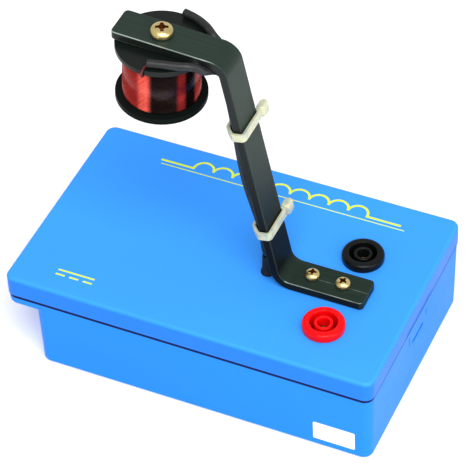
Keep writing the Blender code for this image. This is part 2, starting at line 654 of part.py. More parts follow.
def make_socket(label, y, colour):
    """A safety socket: insulating body with a shrouded ring, brass contact inside, nut under the lid."""
    flange_bottom = SEAT_GAP
    top = flange_bottom + SOCKET_FLANGE_HEIGHT
    ring_top = top - SOCKET_RING_DROP
    groove = SOCKET_GROOVE_DIAMETER / 2
    ring = SOCKET_RING_DIAMETER / 2
    barrel = SOCKET_BARREL_DIAMETER / 2
    contact_outer = CONTACT_BORE_DIAMETER / 2 + CONTACT_WALL
    sleeve_bore = contact_outer + SEAT_GAP
    pin = CONTACT_PIN_DIAMETER / 2
    mouth = SOCKET_MOUTH_DIAMETER / 2
    ease = 0.3 * MM
    lip_bottom = ring_top - SOCKET_LIP
    floor = -SOCKET_BARREL_LENGTH + SOCKET_FLOOR
    flange = SOCKET_FLANGE_DIAMETER / 2
    rounded = arc((flange - SOCKET_EDGE_RADIUS, top - SOCKET_EDGE_RADIUS), SOCKET_EDGE_RADIUS, 90, 0, 4)
    profile = [(groove, top - ease), (groove + ease, top)] + rounded
    profile += [(flange, flange_bottom), (barrel, flange_bottom), (barrel, -SOCKET_BARREL_LENGTH + ease * 2),
                (barrel - ease * 2, -SOCKET_BARREL_LENGTH), (pin + SEAT_GAP, -SOCKET_BARREL_LENGTH),
                (pin + SEAT_GAP, floor), (sleeve_bore, floor), (sleeve_bore, lip_bottom),
                (mouth, lip_bottom), (mouth, ring_top - ease), (mouth + ease, ring_top),
                (ring - ease, ring_top), (ring, ring_top - ease), (ring, -SOCKET_GROOVE_DEPTH),
                (groove, -SOCKET_GROOVE_DEPTH)]
    body = turned(label + "_socket", profile, finish(label + "_socket_plastic", colour, 0.3), closed=True)
    body.location = (SOCKET_X, y, LID_TOP)

    contact_top = lip_bottom - SEAT_GAP
    contact_bottom = floor + SEAT_GAP
    bore = CONTACT_BORE_DIAMETER / 2
    pin_end = -SOCKET_BARREL_LENGTH - CONTACT_PIN_LENGTH
    inside = contact_bottom + CONTACT_FLOOR
    profile = [(0, inside), (bore, inside), (bore, contact_top - ease), (bore + ease, contact_top),
               (contact_outer, contact_top), (contact_outer, contact_bottom), (pin, contact_bottom),
               (pin, pin_end), (0, pin_end)]
    contact = turned(label + "_contact", profile,
                     finish(label + "_contact_brass", (0.75, 0.56, 0.25), 0.3, 1.0), SMALL_STEPS)
    contact.location = (SOCKET_X, y, LID_TOP)

    nut = ring_plate(label + "_socket_nut", hexagon(SOCKET_NUT_FLATS), barrel + SEAT_GAP, SOCKET_NUT_HEIGHT,
                     finish(label + "_socket_nut_plastic", BLACK_PLASTIC, 0.5))
    nut.location = (SOCKET_X, y, LID_UNDERSIDE - SEAT_GAP - SOCKET_NUT_HEIGHT / 2)
    nut.rotation_euler.z = math.radians(10)


def coil_frame():
    """An empty on the coil's axis, at the strip's underside, tilted with the top of the bracket."""
    frame = bpy.data.objects.new("coil_frame", None)
    PARTS.objects.link(frame)
    frame.location = COIL_SEAT
    frame.rotation_euler.y = TOP_RISE
    return frame


def make_coil():
    """Bobbin, winding, soft iron core and the screw that draws them up under the strip."""
    frame = coil_frame()
    top = -SEAT_GAP
    bottom = top - BOBBIN_HEIGHT
    edge = FLANGE_EDGE_RADIUS
    inner_top = top - TOP_FLANGE
    inner_bottom = bottom + BOTTOM_FLANGE
    profile = [(HUB_BORE_RADIUS, top), (BOBBIN_RADIUS - edge, top), (BOBBIN_RADIUS, top - edge),
               (BOBBIN_RADIUS, inner_top + edge), (BOBBIN_RADIUS - edge, inner_top), (HUB_RADIUS, inner_top),
               (HUB_RADIUS, inner_bottom), (BOBBIN_RADIUS - edge, inner_bottom),
               (BOBBIN_RADIUS, inner_bottom - edge), (BOBBIN_RADIUS, bottom + edge),
               (BOBBIN_RADIUS - edge, bottom), (HUB_BORE_RADIUS, bottom)]
    bobbin = turned("bobbin", profile, finish("bobbin_black", BLACK_PLASTIC, 0.35), FINE_STEPS, closed=True)

    winding_top = inner_top - SEAT_GAP
    winding_bottom = inner_bottom + SEAT_GAP
    round_off = WIRE_RADIUS
    profile = [(HUB_RADIUS + SEAT_GAP, winding_top), (WINDING_RADIUS - round_off, winding_top),
               (WINDING_RADIUS, winding_top - round_off), (WINDING_RADIUS, winding_bottom + round_off),
               (WINDING_RADIUS - round_off, winding_bottom), (HUB_RADIUS + SEAT_GAP, winding_bottom)]
    winding = turned("winding", profile, finish("winding_enamel", (0.42, 0.035, 0.02), 0.25, 0.3),
                     FINE_STEPS, closed=True)

    pole = bottom - CORE_PROUD
    hole_floor = -COIL_SCREW_GRIP - CORE_HOLE_SPARE
    hole = COIL_SCREW_DIAMETER / 2 + SEAT_GAP
    profile = [(0, hole_floor), (hole, hole_floor), (hole, top), (CORE_RADIUS - CORE_CHAMFER, top),
               (CORE_RADIUS, top - CORE_CHAMFER), (CORE_RADIUS, pole + CORE_CHAMFER),
               (CORE_RADIUS - CORE_CHAMFER, pole), (0, pole)]
    core = turned("core", profile, finish("core_iron", (0.45, 0.45, 0.44), 0.4, 1.0), SMALL_STEPS)

    head_seat = STRIP_THICKNESS + SEAT_GAP
    screw = pan_screw("coil_screw", COIL_SCREW_HEAD, COIL_SCREW_HEAD_HEIGHT, COIL_SCREW_DIAMETER,
                      head_seat + COIL_SCREW_GRIP, finish("coil_screw_plating", BRASS_PLATE, 0.28, 1.0))
    screw.location.z = head_seat
    screw.rotation_euler.z = math.radians(25)
    for piece in (bobbin, winding, core, screw):
        piece.parent = frame


def lead_place(side, height, bulge=0.0):
    """A sleeve's place behind the arm: side is -1 for the front one and 1 for the back one."""
    out = -(STRIP_THICKNESS + SEAT_GAP + LEAD_RADIUS + bulge)
    return arm_point(height, out, LEAD_PAIR_Y + side * LEAD_SPACING / 2)


def over_flange(place):
    """Where a sleeve lies on the bobbin's top flange, by shares of the bobbin's radius."""
    return coil_point(place[0] * BOBBIN_RADIUS, place[1] * BOBBIN_RADIUS, LEAD_RADIUS)


def lead_route(side):
    """From the bobbin's top flange, over its edge, under the strip, down the arm and through the lid."""
    clear = LEAD_RADIUS + SEAT_GAP
    beyond = BOBBIN_RADIUS + clear
    beside = STRIP_WIDTH / 2 + clear + SEAT_GAP
    if side < 0:
        start = [over_flange(place) for place in FRONT_LEAD_COURSE]
        turn = Vector((beyond, -beside - SEAT_GAP)).normalized() * beyond
        start += [coil_point(turn.x, turn.y, SEAT_GAP),
                  coil_point(beyond + 2 * SEAT_GAP, -beside + clear, -LEAD_DIAMETER * 1.7)]
    else:
        start = [over_flange(place) for place in BACK_LEAD_COURSE]
        start += [coil_point(beyond * 0.86, beside + SEAT_GAP, LEAD_RADIUS),
                  coil_point(beyond, beside, -LEAD_RADIUS),
                  coil_point(beyond + clear / 2, beside - clear, -LEAD_DIAMETER * 1.9)]
    arm = [lead_place(side, ARM_LENGTH - BOBBIN_HEIGHT / 2, SEAT_GAP), lead_place(side, UPPER_TIE_HEIGHT),
           lead_place(side, (UPPER_TIE_HEIGHT + LOWER_TIE_HEIGHT) / 2, LEAD_BULGE),
           lead_place(side, LOWER_TIE_HEIGHT), lead_place(side, LOWER_TIE_HEIGHT / 2, SEAT_GAP)]
    bush_y = BUSH_Y + side * BUSH_SPREAD / 2
    down = [Vector((BUSH_X, bush_y, LID_TOP + rise))
            for rise in (BUSH_COLLAR_HEIGHT, BUSH_COLLAR_HEIGHT / 2, -LID_PLATE, -2 * LID_PLATE)]
    socket_y = RED_SOCKET_Y if side < 0 else BLACK_SOCKET_Y
    pin_end = LID_TOP - SOCKET_BARREL_LENGTH - CONTACT_PIN_LENGTH
    low = pin_end - SEAT_GAP - LEAD_RADIUS
    corner = Vector((BUSH_X, bush_y, low))
    across = Vector((SOCKET_X, socket_y, low)) - corner
    settle = [(0.08, (LID_TOP - low) / 3), (0.35, LEADS_SETTLE_RISE), (0.7, 0), (1.04, 0)]
    inside = [corner + across * share + Vector((0, 0, rise)) for share, rise in settle]
    return start + arm + down + inside


def make_leads():
    """Two sleeved leads, whole from the coil to the sockets, and the bare enamelled tails at the coil."""
    for label, side in (("front_lead", -1), ("back_lead", 1)):
        path = smooth_path(lead_route(side), LEAD_STEP)
        tube(label, path, LEAD_RADIUS, finish(label + "_sleeve", (0.02, 0.021, 0.022), 0.45))

    wire_clear = SEAT_GAP + WIRE_RADIUS
    flange_low = -SEAT_GAP - TOP_FLANGE
    first = WINDING_RADIUS + wire_clear
    rim = BOBBIN_RADIUS + wire_clear
    for label, side, course in (("front_wire_tail", -1, FRONT_LEAD_COURSE),
                                ("back_wire_tail", 1, BACK_LEAD_COURSE)):
        sleeve_x = course[0][0] * BOBBIN_RADIUS
        sleeve_y = course[0][1] * BOBBIN_RADIUS
        end = Vector((sleeve_x, sleeve_y)) - Vector((TAIL_LEAN, 0))
        outward = [(0.7, first, flange_low - wire_clear - WIRE_DIAMETER * 2),
                   (0.9, (first + rim) / 2, flange_low - wire_clear - WIRE_DIAMETER),
                   (1.0, rim + WIRE_RADIUS, flange_low), (1.0, rim + WIRE_RADIUS, flange_low / 2),
                   (1.0, rim, WIRE_RADIUS), (0.9, (rim + abs(end.y)) / 2, LEAD_RADIUS * 0.75)]
        route = [coil_point(end.x - lean * TAIL_LEAN, side * reach, height) for lean, reach, height in outward]
        route.append(coil_point(end.x, end.y, LEAD_RADIUS))
        tube(label, smooth_path(route, TAIL_STEP), WIRE_RADIUS,
             finish(label + "_enamel", (0.42, 0.03, 0.02), 0.3, 0.3))


def hull(points):
    """The convex outline of flat points, anticlockwise."""
    points = sorted(set(points))
    outline = []
    for run in (points, points[::-1]):
        chain = []
        for p in run:
            while len(chain) > 1 and ((chain[-1][0] - chain[-2][0]) * (p[1] - chain[-2][1])
                                      - (chain[-1][1] - chain[-2][1]) * (p[0] - chain[-2][0])) <= 0:
                chain.pop()
            chain.append(p)
        outline += chain[:-1]
    return outline


def make_tie(name, height):
    """A cable tie drawn round the arm and both sleeves, its head at the back of the arm."""
    corner = SEAT_GAP * 2
    wrapped = [((out, y), corner) for out in (-STRIP_THICKNESS + SEAT_GAP, -SEAT_GAP)
               for y in (STRIP_FRONT + SEAT_GAP, STRIP_BACK - SEAT_GAP)]
    sleeve_out = -(STRIP_THICKNESS + SEAT_GAP + LEAD_RADIUS)
    wrapped += [((sleeve_out, LEAD_PAIR_Y + side * LEAD_SPACING / 2), LEAD_RADIUS + SEAT_GAP)
                for side in (-1, 1)]
    cloud = []
    for centre, radius in wrapped:
        cloud += arc(centre, radius, 0, 360, 24)
    outline = hull([(round(x, 8), round(y, 8)) for x, y in cloud])
    band = bmesh.new()
    rows = [[band.verts.new((x, y, z)) for z in (-TIE_WIDTH / 2, TIE_WIDTH / 2)] for x, y in outline]
    for (a, b), (c, d) in zip(rows, rows[1:] + rows[:1]):
        band.faces.new((a, c, d, b))
    mesh = bpy.data.meshes.new(name)
    band.to_mesh(mesh)
    band.free()
    tie = add(name, mesh, finish(name + "_nylon", (0.78, 0.8, 0.72), 0.35))
    wall = tie.modifiers.new("thickness", "SOLIDIFY")
    wall.thickness = TIE_THICKNESS
    wall.offset = 1
    wall.use_even_offset = True
    half_wall = TIE_THICKNESS / 2
    head_back = STRIP_BACK + SEAT_GAP + half_wall
    head = cutting_block(name + "_head",
                         (half_wall - TIE_HEAD_THICKNESS / 2, head_back, -TIE_HEAD_WIDTH / 2),
                         (half_wall + TIE_HEAD_THICKNESS / 2, head_back + TIE_HEAD_LENGTH + half_wall,
                          TIE_HEAD_WIDTH / 2),
                         corner=TIE_HEAD_ROUNDING, top=TIE_HEAD_ROUNDING / 2,
                         bottom=TIE_HEAD_ROUNDING / 2, steps=3)
    head.parent = tie
    join(tie, head)
    tie.location = arm_point(height, 0, 0)
    tie.rotation_euler.y = -ARM_LEAN


def make_lead_bush():
    """A rubber bush that lines the slot where the leads pass through the lid, with a collar round them."""
    flange = BUSH_HOLE_RADIUS + BUSH_FLANGE_OVERHANG
    collar = BUSH_BORE_RADIUS + BUSH_COLLAR_WALL
    low = -LID_PLATE - SEAT_GAP
    top = SEAT_GAP + BUSH_FLANGE_HEIGHT
    bottom = low - BUSH_FLANGE_HEIGHT
    ease = BUSH_FLANGE_HEIGHT / 3
    profile = [(BUSH_BORE_RADIUS, BUSH_COLLAR_HEIGHT), (collar, BUSH_COLLAR_HEIGHT),
               (collar + ease / 2, top + BUSH_FLANGE_HEIGHT), (collar + ease * 1.5, top),
               (flange - ease / 2, (top + SEAT_GAP) / 2), (flange, SEAT_GAP + ease / 2), (flange, SEAT_GAP),
               (BUSH_NECK_RADIUS, SEAT_GAP), (BUSH_NECK_RADIUS, low), (flange, low), (flange, bottom + ease),
               (flange - ease, bottom), (BUSH_BORE_RADIUS, bottom)]
    bush = oval_ring("lead_bush", profile, BUSH_SPREAD, finish("lead_bush_rubber", (0.015, 0.015, 0.016), 0.6))
    bush.location = (BUSH_X, BUSH_Y, LID_TOP)


def main():
    make_base()
    make_lid()
    make_bracket()
    make_foot_screws()
    make_socket("black", BLACK_SOCKET_Y, BLACK_PLASTIC)
    make_socket("red", RED_SOCKET_Y, (0.75, 0.02, 0.02))
    make_coil()
    make_leads()
    make_tie("upper_cable_tie", UPPER_TIE_HEIGHT)
    make_tie("lower_cable_tie", LOWER_TIE_HEIGHT)
    make_lead_bush()


main()
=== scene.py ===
"""Looks of a demonstration electromagnet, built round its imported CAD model.

It is laid out as an add-on: sizes and colours are scene properties, each group of pieces has
an operator, and main() runs the operators in order. Lengths are in metres and +Z is up.
"""

import math

import bmesh
import bpy
from bpy.props import FloatProperty, FloatVectorProperty, IntProperty, PointerProperty
from mathutils import Matrix, Vector


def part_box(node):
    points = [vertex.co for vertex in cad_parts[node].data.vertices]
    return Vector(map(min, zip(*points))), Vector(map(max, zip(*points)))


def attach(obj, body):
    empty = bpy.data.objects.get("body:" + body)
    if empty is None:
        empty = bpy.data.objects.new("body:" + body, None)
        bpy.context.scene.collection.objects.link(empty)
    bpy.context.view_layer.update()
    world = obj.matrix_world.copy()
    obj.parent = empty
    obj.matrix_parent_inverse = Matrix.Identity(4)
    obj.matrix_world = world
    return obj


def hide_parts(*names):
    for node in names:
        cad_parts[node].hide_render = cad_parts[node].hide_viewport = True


bl_info = {
    "name": "Demonstration electromagnet",
    "version": (1, 0, 0),
    "blender": (4, 5, 0),
    "location": "View3D > Sidebar > Electromagnet",
    "description": "Builds the smooth and painted pieces of a demonstration electromagnet",
    "category": "Add Mesh",
}

MM = 0.001
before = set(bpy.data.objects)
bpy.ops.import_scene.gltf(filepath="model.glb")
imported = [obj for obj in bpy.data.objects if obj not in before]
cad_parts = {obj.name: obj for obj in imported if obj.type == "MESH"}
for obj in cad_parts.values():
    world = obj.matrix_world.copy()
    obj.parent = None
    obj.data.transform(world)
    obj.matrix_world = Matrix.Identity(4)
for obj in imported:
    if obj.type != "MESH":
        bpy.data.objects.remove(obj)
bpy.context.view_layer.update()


def srgb(red, green, blue):
    """A display colour from 0 to 255 as the linear values that shaders take."""
    shares = (red / 255, green / 255, blue / 255)
    return tuple(s / 12.92 if s <= 0.04045 else ((s + 0.055) / 1.055) ** 2.4 for s in shares)


def length(label, about, size):
    """A length property with its default in millimetres."""
    return FloatProperty(name=label, description=about, default=size * MM, unit="LENGTH", precision=5)


def angle(label, about, degrees):
    return FloatProperty(name=label, description=about, default=math.radians(degrees), subtype="ANGLE")


def share(label, about, value):
    return FloatProperty(name=label, description=about, default=value, min=0.0, max=1.0, subtype="FACTOR")


def colour(label, about, red, green, blue):
    return FloatVectorProperty(name=label, description=about, default=srgb(red, green, blue), min=0.0,
                               max=1.0, subtype="COLOR")


class BoxSizes(bpy.types.PropertyGroup):
    """The tray and the lid."""

    seat_gap: length("Seat gap", "Gap between pieces that rest on each other", 0.3)
    corner: length("Corner radius", "Radius of the upright corners", 3.6)
    skirt: length("Lid skirt", "Height of the lid's outer wall", 8.4)
    lid_wall: length("Lid wall", "Thickness of the lid's skirt", 2.0)
    plate: length("Lid plate", "Thickness of the lid's top", 2.4)
    lid_edge: length("Lid edge radius", "Rounding of the lid's top edge", 1.35)
    base_height: length("Base height", "Height of the tray's outer wall", 29.65)
    base_wall: length("Base wall", "Thickness of the tray's wall", 2.6)
    base_floor: length("Base floor", "Thickness of the tray's floor", 2.4)
    draft: length("Draft", "How far each wall draws in towards the bottom", 0.4)
    base_edge: length("Base edge radius", "Rounding of the tray's bottom edge", 1.4)
    set_back: length("Set back", "How far the tray stands in from the lid's face", 0.25)
    parting_edge: length("Parting edge radius", "Rounding of the edges along the parting line", 0.2)
    step: length("Step length", "How far the left end is cut back below the ledge", 10.6)
    ledge: length("Ledge height", "Height of the ledge at the left end", 4.5)
    ledge_wall: length("Ledge wall", "Thickness of the ledge's bottom", 2.0)
    ledge_edge: length("Ledge edge radius", "Rounding of the ledge's bottom edge", 1.9)
    ledge_fillet: length("Ledge fillet", "Fillet under the ledge", 2.0)
    rim_rise: length("Rim rise", "How far the inner rim stands up inside the lid", 2.6)
    rim_wall: length("Rim wall", "Thickness of the inner rim", 1.3)
    latch_y: length("Latch place", "Middle of the snap latch along Y", 1.7)
    latch_width: length("Latch width", "Distance between the latch's two slots", 15.9)
    slot_width: length("Slot width", "Width of the latch's upright slots", 0.6)
    slot_height: length("Slot height", "Height of the latch's upright slots", 3.8)
    slot_drop: length("Slot drop", "How far below the tray's top the slots start", 3.6)
    window_length: length("Window length", "Length of the latch's window", 10.5)
    window_height: length("Window height", "Height of the latch's window", 1.4)
    window_drop: length("Window drop", "How far the window's middle lies below the tray's top", 8.6)
    pry_width: length("Recess width", "Width of the recess above the latch and of the skirt's groove", 24.0)
    pry_depth: length("Recess depth", "Depth of the recess above the latch", 1.1)
    pry_height: length("Recess height", "Height of the recess above the latch", 0.7)
    groove_rise: length("Groove rise", "Height of the skirt's groove above its lower edge", 0.9)
    groove_size: length("Groove size", "Height and depth of the skirt's groove", 0.5)
    snap_width: length("Snap width", "Width of the hook inside the latch", 9.2)
    snap_wall: length("Snap thickness", "Thickness of the hook inside the latch", 1.6)
    hook_height: length("Hook height", "Height of the hook's nose", 0.8)


class BracketSizes(bpy.types.PropertyGroup):
    """The bent strip that carries the coil."""

    thickness: length("Thickness", "Thickness of the strip", 3.05)
    foot: length("Foot length", "Length of the foot from its bend", 30.4)
    arm: length("Arm length", "Length of the arm between its bends", 93.1)
    top: length("Top length", "Length of the top from its bend", 40.9)
    lean: angle("Lean", "How far the arm leans back", 10.9)
    rise: angle("Rise", "How far the top rises to its free end", 3.3)
    foot_radius: length("Foot bend radius", "Inner radius of the bend at the foot", 4.5)
    top_radius: length("Top bend radius", "Inner radius of the bend at the top", 7.0)
    corner: length("Corner radius", "Rounding of the strip's four corners", 1.6)
    edge: length("Edge rounding", "Rounding along the strip's edges", 0.28)
    scratch: length("Scribed line", "How far the scribed line on the foot lies from its front edge", 5.6)
    coil_reach: length("Coil reach", "Distance from the top bend to the coil's axis", 25.0)


class ScrewSizes(bpy.types.PropertyGroup):
    """Pan head screws with a cross recess."""

    foot_head: length("Foot screw head", "Diameter of a foot screw's head", 5.4)
    foot_height: length("Foot screw head height", "Height of a foot screw's head", 2.3)
    foot_shank: length("Foot screw shank", "Diameter of a foot screw's shank", 2.9)
    coil_head: length("Coil screw head", "Diameter of the coil screw's head", 7.9)
    coil_height: length("Coil screw head height", "Height of the coil screw's head", 2.8)
    coil_shank: length("Coil screw shank", "Diameter of the coil screw's shank", 3.9)
    coil_grip: length("Coil screw grip", "How far the coil screw reaches into the core", 13.0)
    crown: share("Crown", "Share of the head's height that is domed", 0.8)
    squareness: FloatProperty(name="Squareness", description="How square the dome is, 2 for a round one",
                              default=2.6, min=1.0)
    recess_depth: share("Recess depth", "Depth of the cross as a share of the head's height", 0.6)
    recess_reach: share("Recess reach", "Half length of the cross as a share of the diameter", 0.29)
    recess_width: share("Recess width", "Width of the cross as a share of the diameter", 0.17)
    left_turn: angle("Left screw turn", "How far the left foot screw's cross is turned", 12)
    right_turn: angle("Right screw turn", "How far the right foot screw's cross is turned", -20)
    coil_turn: angle("Coil screw turn", "How far the coil screw's cross is turned", 25)


class SocketSizes(bpy.types.PropertyGroup):
    """Four millimetre safety sockets."""

    flange: length("Flange diameter", "Diameter of the flange on the lid", 15.0)
    height: length("Flange height", "Height of the flange on the lid", 2.9)
    edge: length("Flange rounding", "Rounding of the flange's top edge", 1.2)
    groove: length("Groove diameter", "Outer diameter of the groove round the ring", 9.8)
    groove_depth: length("Groove depth", "Depth of the groove below the lid's top", 15.0)
    ring: length("Ring diameter", "Outer diameter of the inner ring", 6.6)
    ring_drop: length("Ring drop", "How far the inner ring lies below the flange", 0.5)
    mouth: length("Mouth diameter", "Diameter of the inner ring's mouth", 4.4)
    lip: length("Lip", "Length of the ring above the contact", 4.0)
    barrel: length("Barrel diameter", "Diameter of the barrel through the lid", 11.8)
    barrel_length: length("Barrel length", "Length of the barrel below the lid's top", 19.6)
    floor: length("Floor", "Thickness of the barrel's bottom", 2.0)
    bore: length("Contact bore", "Bore of the contact", 4.0)
    contact_wall: length("Contact wall", "Wall thickness of the contact", 0.6)
    pin: length("Pin diameter", "Diameter of the contact's pin", 2.4)
    ease: length("Small edges", "Rounding of the socket's small edges", 0.3)


class CoilSizes(bpy.types.PropertyGroup):
    """Bobbin, winding and core."""

    bobbin: length("Bobbin diameter", "Diameter of the bobbin's flanges", 31.2)
    height: length("Bobbin height", "Height of the bobbin", 23.0)
    top_flange: length("Top flange", "Thickness of the top flange", 2.0)
    bottom_flange: length("Bottom flange", "Thickness of the bottom flange", 2.2)
    edge: length("Flange rounding", "Rounding of the flanges' edges", 0.3)
    core: length("Core diameter", "Diameter of the iron core", 10.0)
    core_proud: length("Core stand out", "How far the core stands out of the bobbin", 1.0)
    core_edge: length("Core chamfer", "Chamfer of the core's end", 0.5)
    hub_wall: length("Hub wall", "Wall thickness of the bobbin's hub", 1.1)
    winding: length("Winding diameter", "Outer diameter of the winding", 26.4)
    wire: length("Wire diameter", "Diameter of the enamelled wire", 0.5)
    turn_spacing: length("Turn spacing", "Distance between neighbouring turns", 0.52)


class LeadSizes(bpy.types.PropertyGroup):
    """Sleeved leads, their ties and the bush in the lid."""

    sleeve: length("Sleeve diameter", "Outer diameter of a sleeved lead", 2.4)
    swell: share("Sleeve swell", "How much wider the sleeves are where the wires enter them", 0.18)
    spacing: length("Lead spacing", "Distance between the leads down the arm", 3.0)
    pair_offset: length("Lead pair offset", "How far the pair lies to the front of the strip's middle", 0.9)
    bulge: length("Bulge", "How far the leads stand off between the ties", 1.3)
    upper_tie: length("Upper tie", "Distance of the upper tie up the arm", 64.0)
    lower_tie: length("Lower tie", "Distance of the lower tie up the arm", 20.9)
    tie_width: length("Tie width", "Width of a cable tie", 2.9)
    tie_thickness: length("Tie thickness", "Thickness of a cable tie", 1.1)
    head_length: length("Head length", "Length of a tie's head", 4.4)
    head_width: length("Head width", "Width of a tie's head", 4.2)
    head_thickness: length("Head thickness", "Thickness of a tie's head", 3.1)
    head_rounding: length("Head rounding", "Rounding of a tie's head", 1.4)
    bush_behind: length("Bush distance", "Distance of the bush behind the foot's bend", 6.9)
    bush_offset: length("Bush offset", "How far the bush lies to the back of the strip's middle", 0.7)
    collar_height: length("Collar height", "Height of the bush's collar above the lid", 8.5)
    collar_wall: length("Collar wall", "Wall thickness of the bush's collar", 0.4)
    settle_rise: length("Settling height", "How high the leads still run a third of the way to a socket", 1.5)
    tail_lean: length("Tail lean", "How far the bare tails start beside the sleeves' ends", 1.0)
    bush_wall: length("Bush wall", "Wall thickness of the bush", 0.5)
    bush_flange: length("Bush flange", "How far the bush's flange overhangs its hole", 0.3)
    bush_height: length("Bush flange height", "Height of the bush's flange", 1.1)


class PrintSizes(bpy.types.PropertyGroup):
    """Symbols printed on the lid and the blank label on the front."""

    thickness: length("Ink thickness", "Thickness of the printed ink", 0.03)
    line_left: length("Underline left", "Left end of the underline", -42.3)
    line_right: length("Underline right", "Right end of the underline", 52.1)
    line_y: length("Underline place", "Place of the underline along Y", 30.45)
    line_width: length("Underline width", "Width of the underline", 0.4)
    coil_y: length("Symbol place", "Baseline of the coil symbol along Y", 32.8)
    coil_left: length("Symbol left", "Left end of the coil symbol", -43.1)
    coil_right: length("Symbol right", "Right end of the coil symbol", 50.2)
    stroke: length("Stroke", "Width of the symbol's lines", 0.9)
    hump: length("Loop radius", "Outer radius of one loop of the coil symbol", 4.2)
    humps: IntProperty(name="Loops", description="Loops in the coil symbol", default=9, min=1)
    supply_x: length("Supply symbol X", "Left end of the direct current symbol", -52.5)
    supply_y: length("Supply symbol Y", "Middle of the direct current symbol", -33.5)
    supply_length: length("Supply symbol length", "Length of the direct current symbol", 14.0)
    supply_rise: length("Supply line spacing", "Distance between the symbol's two lines", 2.2)
    supply_stroke: length("Supply stroke", "Width of the supply symbol's lines", 0.7)
    label_left: length("Label left", "Left end of the label", 47.5)
    label_right: length("Label right", "Right end of the label", 62.9)
    label_low: length("Label low", "Lower edge of the label", 3.5)
    label_high: length("Label high", "Upper edge of the label", 11.7)
    label_thickness: length("Label thickness", "Thickness of the label", 0.08)


class Colours(bpy.types.PropertyGroup):
    """Colours of every finish."""

    lid: colour("Lid", "Blue of the lid", 54, 146, 246)
    # Painted shade: the lid's skirt is given a darker blue than its top
    skirt: colour("Skirt", "Blue of the lid's skirt", 28, 116, 240)
    base: colour("Base", "Blue of the tray", 30, 128, 240)
    parting: colour("Parting line", "Blue in the shade between the lid and the tray", 3, 14, 60)
    bracket: colour("Bracket", "Black paint on the strip", 28, 41, 35)
    # Painted highlight along the strip's front edges, partly worn paint; the scribed line on the foot also
    # takes this tone
    bracket_edge: colour("Bracket edge", "Paint worn thin along the strip's edges", 138, 150, 140)
    plating: colour("Screw plating", "Yellow plating of the screws", 232, 208, 142)
    # Painted shade: the screws' crosses take a darker tone for the shade in the recess
    recess: colour("Screw recess", "Dark plating in the screws' crosses", 120, 72, 34)
    zinc: colour("Zinc", "Plating of washers and nuts", 178, 180, 182)
    # Painted shade: the contacts' brass is darkened for the shade down the sockets' bores
    brass: colour("Brass", "Contacts in the sockets", 70, 46, 22)
    black_socket: colour("Black socket", "Plastic of the black socket", 12, 14, 15)
    red_socket: colour("Red socket", "Plastic of the red socket", 232, 6, 12)
    bobbin: colour("Bobbin", "Black plastic of the bobbin", 13, 19, 17)
    enamel: colour("Wire enamel", "Red enamel of the wire", 158, 40, 34)
    # Painted highlight: the bright reflection band on the winding
    enamel_light: colour("Light enamel", "Enamel where the copper shines through", 250, 104, 90)
    # Darker enamel of the tails, also a painted reflection band on the winding
    enamel_deep: colour("Deep enamel", "Enamel that lies thick", 120, 24, 24)
    # Varnish patches on the tails, also the painted dark reflection bands on the winding
    varnish_and_dark_reflection: colour("Varnish", "Dark varnish where it lies thick on the winding", 22, 9, 9)
    iron: colour("Iron", "Soft iron of the core", 150, 150, 148)
    sleeve: colour("Sleeve", "Black sleeve of the leads", 26, 28, 28)
    nylon: colour("Nylon", "Natural nylon of the ties", 190, 192, 162)
    # Patches of this tone on the ties: the black strip showing through the nylon, and painted shade
    nylon_shade: colour("Nylon shade", "Nylon where the black strip shows through", 140, 156, 158)
    rubber: colour("Rubber", "Rubber of the bush", 24, 24, 25)
    ink: colour("Ink", "Yellow ink on the lid", 218, 238, 40)
    label: colour("Label", "White of the label", 244, 244, 244)
    floor: colour("Floor", "White of the floor", 255, 255, 255)


class ViewSizes(bpy.types.PropertyGroup):
    """Camera and light."""

    azimuth: angle("Azimuth", "Turn of the camera round the object", 25.8105)
    elevation: angle("Elevation", "Height of the camera above the horizon", 44.272)
    roll: angle("Roll", "Turn of the camera about its own axis", -2.643)
    shift_x: length("Origin across", "The origin's place to the right of the camera's axis", 1.501)
    shift_y: length("Origin up", "The origin's place above the camera's axis", -32.156)
    distance: length("Distance", "The origin's distance along the camera's axis", 949.436)
    lens: FloatProperty(name="Focal length", description="Focal length on a 36 mm frame, in mm",
                        default=201.51, min=1.0)
    key: FloatProperty(name="Key light", description="Power of the large light overhead, in W",
                       default=10.5, min=0.0)
    fill: FloatProperty(name="Fill light", description="Power of the light beside the camera, in W",
                        default=2.5, min=0.0)
    sky: FloatProperty(name="Sky", description="Strength of the white surround", default=0.7, min=0.0)


GROUPS = {
    "em_box": BoxSizes, "em_bracket": BracketSizes, "em_screw": ScrewSizes, "em_socket": SocketSizes,
    "em_coil": CoilSizes, "em_lead": LeadSizes, "em_print": PrintSizes, "em_colour": Colours,
    "em_view": ViewSizes,
}

BODY = "root"
# Courses of the sleeves over the bobbin's top flange: shares of its radius along the strip and across it
FRONT_COURSE = ((0.06, -0.85), (0.31, -0.775), (0.66, -0.68))
BACK_COURSE = ((0.09, 0.94), (0.31, 0.895), (0.53, 0.82), (0.74, 0.7))
# The front sleeve's way under the strip, in mm along the strip, across it and above its underside
UNDER_COURSE = (
    (14.3, -9.2, 1.3), (16.4, -8.1, 0.6), (17.5, -7.8, 0.0), (18.4, -7.2, -0.7), (19.4, -5.7, -1.4),
    (20.3, -3.9, -2.3), (21.2, -2.0, -4.0), (21.7, -0.6, -6.0), (22.5, 0.0, -9.0), (24.0, 0.0, -15.0))
# How many points of a sleeve are at its full swell, and then fade over as many again
SWELL_POINTS = 16
# Width of the front tail with its thick varnish, as a factor of the wire's
VARNISHED_TAIL = 1.6
# A screw's chamfers: at the tip as a share of the shank, under the head as a share of its height
TIP_CHAMFER = 0.12
RIM_CHAMFER = 0.1
# Sizes, places and aims of the two lights
KEY_LIGHT = (0.8, (0.3, -0.5, 0.9), (0, 0, 0.03))
FILL_LIGHT = (0.6, (0.9, -0.3, 0.4), (0, 0, 0.05))
